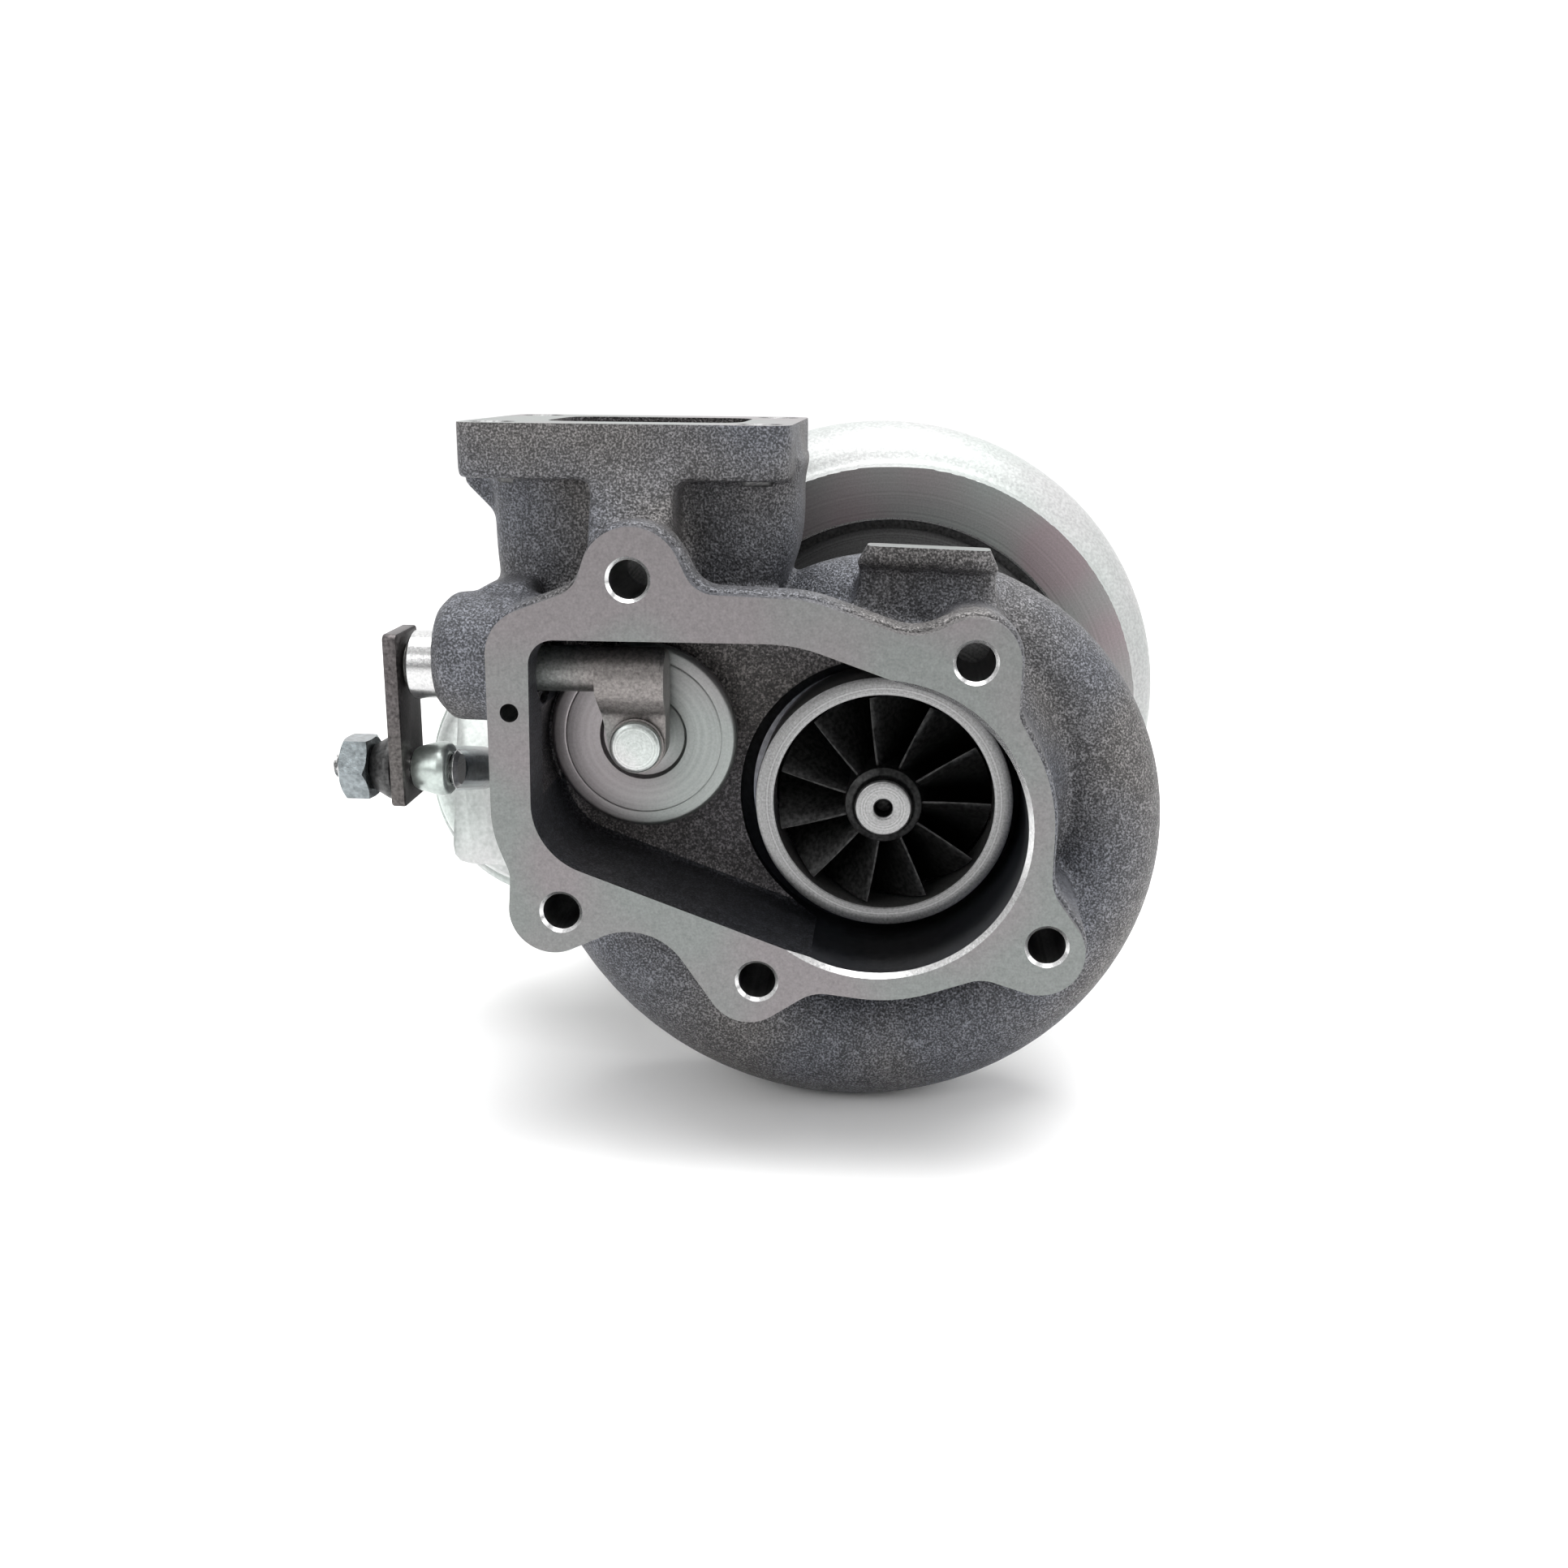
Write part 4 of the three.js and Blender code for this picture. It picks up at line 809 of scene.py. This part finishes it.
def turbine_wheel():
    hub = lathe([
        (0, 1.4), (1.9, 0.6), (1.9, -3.6), (2.3, -4), (5.7, -4), (6.1, -3.6), (6.6, -1.6), (8.3, -1),
        (8.6, 2), (9.6, 10), (13, 18), (18.5, 24), (26.3, 28), (26.3, 29.6), (8.2, 30.4), (8.2, 39.4),
        (7, 39.4), (7, 41.2), (8.2, 41.2), (8.2, 44), (0, 44),
    ], DARK_ALLOY, segments=110, round_off=0.35)
    hub_line = [(26, 28.6), (18, 24.4), (12, 18), (8.4, 9), (7.4, 0.6)]
    tip_line = [(TURBINE_TIP_R, 22.2), (25.1, 18.4), (23.9, 14), (23.2, 8), (23.2, 1.2)]

    def lean(y):
        return -42 * max(0.0, (21 - y) / 20) ** 1.5

    blades = []
    for i in range(TURBINE_BLADES):
        vane = blade(hub_line, tip_line, lean, 2.0, 0.8, DARK_ALLOY)
        blades.append(turned_about_y(vane, 360 * i / TURBINE_BLADES))
    wheel = joined(hub, *blades)
    paint(wheel, NOSE, lambda c, n: c.y < -3.3 and math.hypot(c.x, c.z) > 1.95)
    publish(wheel, "turbine_wheel", 35)


def compressor_wheel():
    rim = WHEEL2_R - 0.1
    hub = lathe([
        (4.2, WHEEL2_BACK_Y), (rim, WHEEL2_BACK_Y), (rim, 102.8), (22, 104.6), (14.5, 109), (10, 116),
        (7.6, 126.8), (4.2, 126.8),
    ], WHEEL_ALUMINIUM, round_off=0.5)
    hub_line = [(29.4, 102.4), (21.6, 104.2), (14, 108.6), (9.4, 116), (7.6, 123.6)]
    tip_line = [(rim, 105.2), (26.4, 107.6), (24.3, 111), (23.5, 116.5), (23.5, 123)]

    def lean(y):
        return 40 * (max(y - 102, 0.0) / 21) ** 1.4 - 18 * max(0.0, (108 - y) / 6)

    blades = []
    for i in range(COMPRESSOR_BLADES):
        angle = 360 / COMPRESSOR_BLADES
        full = blade(hub_line, tip_line, lean, 1.3, 0.6, WHEEL_ALUMINIUM)
        short = blade(hub_line[:4], tip_line[:4], lean, 1.3, 0.6, WHEEL_ALUMINIUM)
        blades += [turned_about_y(full, angle * i), turned_about_y(short, angle * (i + 0.5))]
    publish(joined(hub, *blades), "compressor_wheel", 35)


def split_ring(inner, outer, lo, hi, gap, finish):
    return prism(sector(inner, outer, 90 + gap / 2, 360 - gap, 96), lo, hi, finish, edge=0.12)


def rotor():
    turbine_wheel()
    compressor_wheel()
    shaft = joined(
        lathe([(0, 44.3), (4, 44.3), (4, 90), (3.9, 90), (3.9, 128), (0, 128)], STEEL, segments=64,
              round_off=0.2),
        threaded("y", 3.9, 127.5, 137, (0, 0), STEEL),
    )
    publish(shaft, "rotor_shaft")
    collar = [(4.3, 79.6), (10, 79.6), (10, 82.3), (5.6, 82.3), (5.6, 87.6), (4.3, 87.6)]
    publish(lathe(collar, STEEL), "thrust_collar")
    flinger = [(4.2, 88), (10, 88), (10, 90), (7.6, 90.4), (7.6, 95.8), (6.5, 95.8), (6.5, 97.7), (7.6, 97.7),
               (7.6, 101.4), (4.2, 101.4)]
    publish(lathe(flinger, STEEL), "oil_flinger")
    publish(hex_head(11, 127.1, 132.6, (0, 0), BLACK_STEEL, bore=4.15), "shaft_nut")


# ---- Centre housing ----


def center_housing():
    rough = [
        lathe([(0, 37), (35.8, 37), (35.8, 41.6), (26, 42.4), (22.5, 50), (22.5, 78), (36.5, 88),
               (36.5, 94.4), (0, 94.4)], round_off=0),
        prism(rounded_box(0, OIL_Y, 19, 11, 6), 10, 37, axis="z"),
        prism(rounded_box(0, OIL_Y, 24, 13, 8), -38, -8, axis="z"),
        bar("x", 11, -34, 34, (OIL_Y + 1, 4)),
    ]
    body = casting(rough, BEARING_IRON, 0.8, 12)
    far = 100
    body = joined(
        body,
        lathe(rect(30, 36.5, 35.8, 41.6), BORED_IRON, round_off=0.4),
        lathe(rect(10, 90, 36.5, 95.2), BORED_IRON, segments=128, round_off=0.4),
    )
    body = cut(
        body,
        prism(rect(-far, 36, far, far), 45, 80, MILLED_IRON),
        prism(rect(-far, -far, far, -37), 45, 80, MILLED_IRON),
        *[prism(rect(45, -20, 80, 20), lo, hi, MILLED_IRON, "x") for lo, hi in ((33, 50), (-50, -33))],
        lathe([(0, 30), (8.6, 30), (8.6, 45.5), (9.3, 45.5), (9.3, 78), (11, 78), (11, 82.6), (18.3, 82.6),
               (18.3, 99), (0, 99)], BORED_IRON, round_off=0),
        drilled("z", 3.4, 0, 36, (0, OIL_Y), BORED_IRON, 0.8, "hi"),
        drilled("z", 9, -37, -2, (0, OIL_Y), BORED_IRON, 0.8),
        drilled("x", 6.2, -33, -15.5, (OIL_Y + 1, 4), BORED_IRON, 1.0),
        drilled("x", 6.2, 15.5, 33, (OIL_Y + 1, 4), BORED_IRON, 1.0, "hi"),
        *[drilled("z", 2.5, 26, 36, (side * 13, OIL_Y), BORED_IRON, 0.6, "hi") for side in (-1, 1)],
        *[drilled("z", 3.3, -37, -26, (side * 18, OIL_Y), BORED_IRON, 0.6) for side in (-1, 1)],
        *bars(M5_HOLE_R, 80, 96, SCREWS, BORED_IRON),
        *bars(5.4, 80, 88.6, SCREWS, MILLED_IRON),
    )
    publish(body, "center_housing")


def centre():
    center_housing()
    publish(split_ring(7.3, 8.4, 39.7, 40.9, 12, STEEL), "turbine_piston_ring")
    bearing = lathe(rect(4.3, 46.2, 9, 77.4), BRONZE, round_off=0.5)
    bearing = cut(bearing, bar("z", 5, -10, -3, (0, OIL_Y), BRONZE), bar("z", 2, 3, 10, (0, OIL_Y), BRONZE))
    publish(bearing, "journal_bearing")
    thrust = lathe(rect(6, 83, 17.6, 87.5), BRONZE, round_off=0.3)
    notch = prism(rect(-4, -20, 4, -12), 82, 88, BRONZE)
    publish(cut(thrust, notch), "thrust_bearing")
    publish(split_ring(6.8, 7.8, 96.1, 97.4, 12, STEEL), "compressor_piston_ring")
    # The seal plate's dark finish is painted shade, not the colour of its aluminium.
    plate = lathe([(8, 95.5), (52, 95.5), (52, 97), (49.8, 97), (49.8, 99.4), (52, 99.4), (52, 101.3),
                   (8, 101.3)], SHADED_PLATE_ALUMINIUM, segments=128, round_off=0.2)
    publish(cut(plate, *bars(M5_HOLE_R, 95, 100, SCREWS, SHADED_PLATE_ALUMINIUM)), "seal_plate")
    cord = [(51 + u, 98.2 + v) for u, v in (polar(0.9, 360 * k / 16) for k in range(16))]
    publish(lathe(cord, RUBBER, round_off=0), "seal_plate_o_ring")
    for i, at in enumerate(SCREWS):
        head = hex_down(8, 84.3, 88.3, at, BLACK_STEEL)
        screw = joined(head, threaded("y", M5_R, 87.9, 98.9, at, BLACK_STEEL, 0.8))
        publish(screw, f"seal_plate_screw_{i + 1}")
    publish(turned_about_y(split_ring(50, 54, 93.4, 95.1, 16, BLACK_STEEL), 180), "cover_snap_ring")
    shroud = [(9.4, 31.4), (24, 31.4), (33.6, 33.6), (33.6, 36), (32.4, 36), (32.4, 34.4), (23.8, 32.4),
              (9.4, 32.4)]
    publish(lathe(shroud, STEEL, round_off=0.4), "heat_shroud")


# ---- Compressor cover ----

COVER_TRAVEL = 270.0


def cover_tube_r(travel):
    return 9.5 + 11 * travel / COVER_TRAVEL


def cover_outer_r(travel):
    return 70.5 + 12.5 * (max(travel, 0.0) / COVER_TRAVEL) ** 1.5


OUTLET_TUBE_R = cover_tube_r(COVER_TRAVEL)
OUTLET_AT = (OUTLET_TUBE_R - cover_outer_r(COVER_TRAVEL), COVER_FACE_Y + 3 + OUTLET_TUBE_R)


def cover_scroll(shrink, step=4.5):
    rings = []
    for k in range(int(COVER_TRAVEL / step) + 1):
        travel = k * step
        tube = cover_tube_r(travel)
        mid_y = COVER_FACE_Y + 3 + tube
        rings.append(tube_ring(270 + travel, cover_outer_r(travel) - tube, tube - shrink, mid_y))
    return stacked(rings, CAST_ALUMINIUM)


def cover_outlet(shrink, bottom):
    rows = [(OUTLET_TUBE_R, 0.5), (OUTLET_TUBE_R + 1.5, -14), (PIPE_R, -40), (PIPE_R, bottom)]
    return duct([(*OUTLET_AT, r - shrink, r - shrink, 2, z) for r, z in rows])


def compressor_cover():
    rough = [
        lathe([(0, COVER_FACE_Y - 1), (COVER_FACE_R, COVER_FACE_Y - 1), (66.4, 100), (56, 113), (40, 118),
               (33.5, 127), (33.5, 140), (0, 140)], segments=128, round_off=0),
        cover_scroll(0.0),
        cover_outlet(0.0, -70),
        prism(rounded([(24, FLOOR_Z - 1), (46, FLOOR_Z - 1), (50, -50), (20, -55)], 3), 100, 118),
    ]
    body = casting(rough, CAST_ALUMINIUM, 0.9, 14)
    neck = [(0, 138), (33.5, 138), (33.5, 145), (35, 146), (35, 149.5), (33.5, COVER_END_Y), (0, COVER_END_Y)]
    bead = [(0, -66), (PIPE_R, -66), (PIPE_R, FLOOR_Z + 7.5), (HOSE_R, FLOOR_Z + 6.5),
            (HOSE_R, FLOOR_Z + 2.5), (PIPE_R, FLOOR_Z), (0, FLOOR_Z)]
    body = joined(
        body,
        lathe(neck, BORED_ALUMINIUM, round_off=0.8),
        lathe(bead, TURNED_OUTLET, "z", OUTLET_AT, 96, 0.6),
    )
    bore, mouth, groove = COVER_BORE_R, COVER_BORE_R + 0.6, 54.4
    inside = [
        (0, 80), (mouth, 80), (mouth, 91.9), (bore, 92.5), (bore, 93), (groove, 93), (groove, 95.4),
        (bore, 95.4), (bore, 101.6), (49.8, 101.6), (49.8, 103.6), (56, 103.6), (56, 107.5), (44, 107.5),
        (36, 105.8), (30.7, 105.8), (27, 108), (24.9, 111.4), (24.1, 116), (24.1, 126), (29, 153), (0, 153),
    ]
    far = 120
    body = cut(
        body,
        prism(rect(-far, -far, far, far), 60, COVER_FACE_Y, FACED_ALUMINIUM),
        prism(rect(-far, -far, far, FLOOR_Z), 60, 160, FACED_ALUMINIUM),
        lathe(inside, BORED_ALUMINIUM, segments=128, round_off=0),
        cover_scroll(4.0),
        cover_outlet(4.0, FLOOR_Z - 1),
        *[drilled("y", M6_HOLE_R, COVER_FACE_Y, 100, at, BORED_ALUMINIUM, 0.6) for at in BRACKET_BOLTS],
    )
    publish(body, "compressor_cover")


# ---- Wastegate ----


def wastegate_bushing():
    bush = bar("x", BUSH_R, -101, -74, SHAFT_AT, BUSH_STEEL, 0.6, 96)
    publish(cut(bush, drilled("x", SHAFT_R + 0.3, -101, -73, SHAFT_AT, BUSH_STEEL, 0.5)), "wastegate_bushing")


def wastegate_shaft():
    """The shaft, and the arm that wraps over it and carries the valve disc."""
    plan = belt([(-47.4, 32.6, 1.0), (-60.2, 32.6, 1.0), (-60.2, 24.5, 1.0), (*VALVE_AT, 6.2)])
    section = rounded([(-8.9, 30), (-8.7, 24.5), (-6.6, 21), (-4.5, 18.8), (-4.5, 4), (1.3, 4), (1.3, 24),
                       (0.6, 30), (-1.5, 33.4), (-5.6, 33.8)], 3.0)
    arm = kept(prism(plan, -12, 6, ARM_STEEL, edge=0.4), prism(section, -66, -40, ARM_STEEL, "x"))
    shaft = joined(bar("x", SHAFT_R, LEVER_X + LEVER_T + 0.3, -47, SHAFT_AT, ARM_STEEL, 0.3), arm)
    publish(cut(shaft, bar("y", 4.5, -6, 2, VALVE_AT, ARM_STEEL)), "wastegate_shaft", 35)


def wastegate_valve():
    """The disc with its riveted stem, and the washer between the rivet and the arm."""
    face, back, rivet = SEAT_Y - 5.4, SEAT_Y - 0.3, -5.6
    disc = lathe([
        (0, -7.3), (4.6, -7.3), (5.4, -6.9), (5.6, -6.3), (5.6, rivet), (4.2, rivet), (4.2, face + 1.3),
        (9.0, face + 1.3), (9.6, face), (17.1, face + 0.1), (17.25, face + 0.25), (17.4, face + 0.12),
        (VALVE_R - 0.8, face + 0.2), (VALVE_R, face + 1.0), (VALVE_R, SEAT_Y - 2.5), (16.8, back), (0, back),
    ], VALVE_STEEL, "y", VALVE_AT, 128, 0.25)
    paint(disc, RIVET_STEEL, lambda c, n: c.y < -5.4)
    publish(disc, "wastegate_valve")
    publish(lathe(rect(4.5, -5.4, 6, -4.8), ARM_STEEL, "y", VALVE_AT, 64, 0.12), "valve_washer")


def wastegate_lever():
    outline = belt([(2.3, 0.3, 1.4), (2.3, 35, 1.4), (-9.7, 35, 1.4), (-9.7, 0.3, 1.4)])
    plate = prism(outline, LEVER_X, LEVER_X + LEVER_T, LEVER_STEEL, "x", 0.4)
    lever = cut(plate, bar("x", PIN_R + 0.3, LEVER_X - 1, LEVER_X + 4, PIN_AT, LEVER_STEEL))
    publish(lever, "wastegate_lever")


def lever_pin():
    """The pin, the nut that holds it to the lever and the cupped washer between them."""
    pin = joined(
        threaded("x", PIN_R, -119.6, -106.5, PIN_AT, BUSH_STEEL),
        bar("x", PIN_R, -107, -93.4, PIN_AT, BUSH_STEEL),
        bar("x", 4.2, -93.5, -91.8, PIN_AT, BUSH_STEEL, 0.9),
    )
    publish(pin, "lever_pin")
    publish(hex_head(12.8, -117, -111, PIN_AT, ZINC, "x", True, PIN_R + 0.2), "lever_nut", 25)
    cone = [(PIN_R + 0.3, 0), (PIN_R + 0.3, 5), (7, 5), (7, 3.6), (5, 0)]
    seat = lathe([(r, -110.7 + w) for r, w in cone], BLACK_STEEL, "x", PIN_AT, 72, 0.3)
    publish(seat, "lever_washer")


# ---- Actuator ----

ROD_LINE = (CAN_CENTRE - PIN_CENTRE).normalized()
REACH = -(CAN_CENTRE - PIN_CENTRE).length
CAN_TURN = Vector((0, 1, 0)).rotation_difference(ROD_LINE).to_matrix().to_4x4()
TO_CAN = Matrix.Translation(CAN_CENTRE) @ CAN_TURN


def in_can(obj):
    """A solid drawn about the actuator's own Y axis, with y = 0 at the crimped rim."""
    return moved(obj, TO_CAN)


def canister():
    front = lathe([
        (5.2, -13.6), (24.5, -13.6), (27.8, -12.9), (29.8, -11.4), (31.1, -8.6), (31.5, -5), (31.6, -1.9),
        (33.8, -1.9), (CAN_R, -1.5), (CAN_R, -0.2), (30.3, -0.2), (30, -8), (28.4, -10.8), (24, -12.2),
        (5.2, -12.2),
    ], PALE_ZINC, segments=128, round_off=0.9)
    front = cut(front, *bars(M6_HOLE_R, -15, -11, STUDS, PALE_ZINC))
    publish(in_can(front), "canister_front", 40)
    rear = lathe([
        (0, 14.6), (14, 14.5), (20, 14), (26, 11.8), (29.4, 8), (30.6, 3.8), (30.9, 2.4), (33.6, 2.4),
        (CAN_R, 2.0), (CAN_R, 1), (29.3, 1), (28.5, 7), (25.2, 10.8), (19.6, 13.0), (0, 13.2),
    ], PALE_ZINC, segments=128, round_off=0.9)
    publish(in_can(cut(rear, bar("y", 2.2, 12, 16, (-16, -6), PALE_ZINC))), "canister_rear", 40)
    rim = CAN_R - 0.2
    sheet = [(0, 0.1), (16, 0.1), (20, 1.9), (24, 0.1), (rim, 0.1), (rim, 0.7), (24, 0.7), (20.4, 2.6),
             (15.6, 0.7), (0, 0.7)]
    publish(in_can(lathe(sheet, RUBBER, round_off=1.0)), "diaphragm", 60)
    cup = lathe(rect(0, -2, 13.4, -0.2), STEEL, round_off=0.5)
    publish(in_can(cup), "piston_cup")


def spring():
    turns, sides, steps = 3, 12, 36
    start_y, rise, coil_r, wire_r = -10.7, 7.2, 12.2, 1.1
    rings = []
    for k in range(turns * steps + 1):
        y = start_y + rise * k / (turns * steps)
        ring = []
        for i in range(sides):
            out, up = polar(wire_r, 360 * i / sides)
            x, z = polar(coil_r + out, 360 * k / steps)
            ring.append((x, y + up, z))
        rings.append(ring)
    publish(in_can(stacked(rings, STEEL)), "actuator_spring")


def bracket():
    face = rounded(rect(-22, -26, 45, 20), 5)
    front = in_can(prism(face, -16.4, -14, PALE_ZINC, edge=0.5))
    openings = bars(8.5, -18, -12, [(0, 0)], PALE_ZINC) + bars(M6_HOLE_R, -18, -12, STUDS, PALE_ZINC)
    web_line = rounded([(49.6, -31), (91.7, -33), (91.7, 7), (59, 8)], 3)
    web = prism(web_line, -50.4, -48, PALE_ZINC, "x", 0.3)
    foot = prism(rounded(rect(-63, -33, -48, 7), 3), 89.3, 91.7, PALE_ZINC, edge=0.3)
    beyond = prism(rect(-48, -80, 0, 80), 30, 100, PALE_ZINC)
    body = joined(web, foot, cut(front, beyond))
    openings = [in_can(hole) for hole in openings] + bars(M6_HOLE_R, 88, 93, BRACKET_BOLTS, PALE_ZINC)
    body = cut(body, *openings)
    publish(body, "actuator_bracket", 35)
    for i, at in enumerate(BRACKET_BOLTS):
        bolt = joined(hex_down(10, 84.6, 89.0, at, ZINC), threaded("y", M6_R, 88.6, 99, at, ZINC))
        publish(bolt, f"bracket_bolt_{i + 1}")


def actuator_rod():
    low = REACH + ROD_END_L - 5
    publish(in_can(threaded("y", ROD_R, low, -2.3, (0, 0), PALE_ZINC, 0.8, low, low + 14)), "actuator_rod")


def canister_studs():
    for i, at in enumerate(STUDS):
        thread = threaded("y", M6_R, -23, -11.6, at, ZINC, 1.0, -23, -15)
        stud = joined(thread, bar("y", 4, -11.8, -10.6, at, ZINC))
        publish(in_can(stud), f"canister_stud_{i + 1}")
        publish(in_can(hex_down(10, -21.9, -16.9, at, ZINC, 3.2)), f"canister_nut_{i + 1}", 25)


def hose_barb():
    barb = lathe([(0, 12.4), (1.9, 12.4), (1.9, 14.9), (4, 14.9), (4, 17), (2.4, 17), (2.4, 21), (3.0, 22),
                  (2.4, 24.5), (2.4, 27), (3.1, 28), (2.2, 31), (0, 31)], BRONZE, "y", (-16, -6), 48, 0.2)
    publish(in_can(barb), "hose_barb")


def rod_end():
    """The eye on the lever pin, cut flat beside the lever, with the barrel that takes the rod."""
    eye = lathe([(0, -101.9), (4.4, -101.9), (5.2, -99.5), (6, -96.4), (6, -95), (5.4, -93.8), (0, -93.8)],
                PALE_ZINC, "x", PIN_AT, 96, 0.8)
    tip = REACH + ROD_END_L
    barrel = in_can(lathe([(0, REACH), (5.1, REACH), (5.1, tip), (4.1, tip + 1.6), (0, tip + 1.6)],
                          ZINC, round_off=0.6))
    side = prism(rect(-20, -20, 20, 30), -110, -101.9, ZINC, "x")
    head = kept(bar("x", 5, -93.8, -80, PIN_AT, ZINC), prism(rect(-20, -10, 2, 20), -93.7, -79, ZINC, "x"))
    pin_hole = bar("x", PIN_R + 0.3, -103, -90, PIN_AT, ZINC)
    rod_hole = in_can(bar("y", ROD_R + 0.3, tip - 6, tip + 4, (0, 0), ZINC))
    publish(cut(joined(eye, barrel), side, pin_hole, head, rod_hole), "rod_end", 35)


# ---- Studio ----

CAMERA_AT = Vector((3.0, -316.9, 90.5))
CAMERA_TURN = (74.731, -0.509, 4.587)
CAMERA_LENS = 34.85
WORLD_FRONT, WORLD_BACK, WORLD_TOP = 0.36, 1.25, 0.5


def area_light(name, at, target, size, power):
    data = bpy.data.lights.new(name, "AREA")
    data.size = size
    data.energy = power
    lamp = bpy.data.objects.new(name, data)
    bpy.context.scene.collection.objects.link(lamp)
    lamp.location = at
    lamp.rotation_euler = (Vector(target) - Vector(at)).to_track_quat("-Z", "Y").to_euler()
    return lamp


def world_light(scene):
    """White light from all round: stronger behind the part than in front, and stronger from above."""
    world = bpy.data.worlds.new("studio")
    scene.world = world
    world.use_nodes = True
    tree = world.node_tree
    place = tree.nodes.new("ShaderNodeTexCoord")
    parts = tree.nodes.new("ShaderNodeSeparateXYZ")
    tree.links.new(place.outputs["Generated"], parts.inputs[0])
    total = tree.nodes.new("ShaderNodeMath")
    ranges = [("Y", -0.9, 0.9, WORLD_FRONT, WORLD_BACK, "SMOOTHSTEP"),
              ("Z", 0.15, 1.0, 0.0, WORLD_TOP, "LINEAR")]
    for i, (letter, *limits, interpolation) in enumerate(ranges):
        step = tree.nodes.new("ShaderNodeMapRange")
        step.interpolation_type = interpolation
        for key, value in zip(("From Min", "From Max", "To Min", "To Max"), limits):
            step.inputs[key].default_value = value
        tree.links.new(parts.outputs[letter], step.inputs["Value"])
        tree.links.new(step.outputs[0], total.inputs[i])
    background = tree.nodes["Background"]
    tree.links.new(total.outputs[0], background.inputs["Strength"])
    background.inputs["Color"].default_value = (1, 1, 1, 1)


def studio():
    scene = bpy.context.scene
    floor = prism(rect(-30, -30, 30, 30), -0.01, 0.0, axis="z")
    floor.name = "floor"
    paper = Finish("paper", 0.0, 0.9)
    paper.colour(paper.ramp(paper.noise(400.0), (0.3, 0.92), (0.7, 0.95)))
    floor.data.materials.append(paper.material)
    lamps = [
        area_light("overhead", (0.05, -0.05, 0.9), (0, 0, 0.05), 0.8, 9),
        area_light("front_left", (-0.7, -0.9, 0.6), (0, 0, 0.08), 0.6, 3.0),
        area_light("right", (0.9, -0.3, 0.5), (0, 0, 0.08), 0.5, 2),
    ]

    world_light(scene)

    data = bpy.data.cameras.new("camera")
    data.lens = CAMERA_LENS
    data.sensor_width = 36.0
    camera = bpy.data.objects.new("camera", data)
    scene.collection.objects.link(camera)
    camera.location = TO_ROW @ CAMERA_AT
    camera.rotation_euler = [rad(a) for a in CAMERA_TURN]
    scene.camera = camera
    scene.view_settings.view_transform = "Standard"


turbine_housing()
clamp_plates()
turbine_bolts()
rotor()
centre()
compressor_cover()
wastegate_bushing()
wastegate_shaft()
wastegate_valve()
wastegate_lever()
lever_pin()
canister()
spring()
bracket()
actuator_rod()
canister_studs()
hose_barb()
rod_end()
studio()
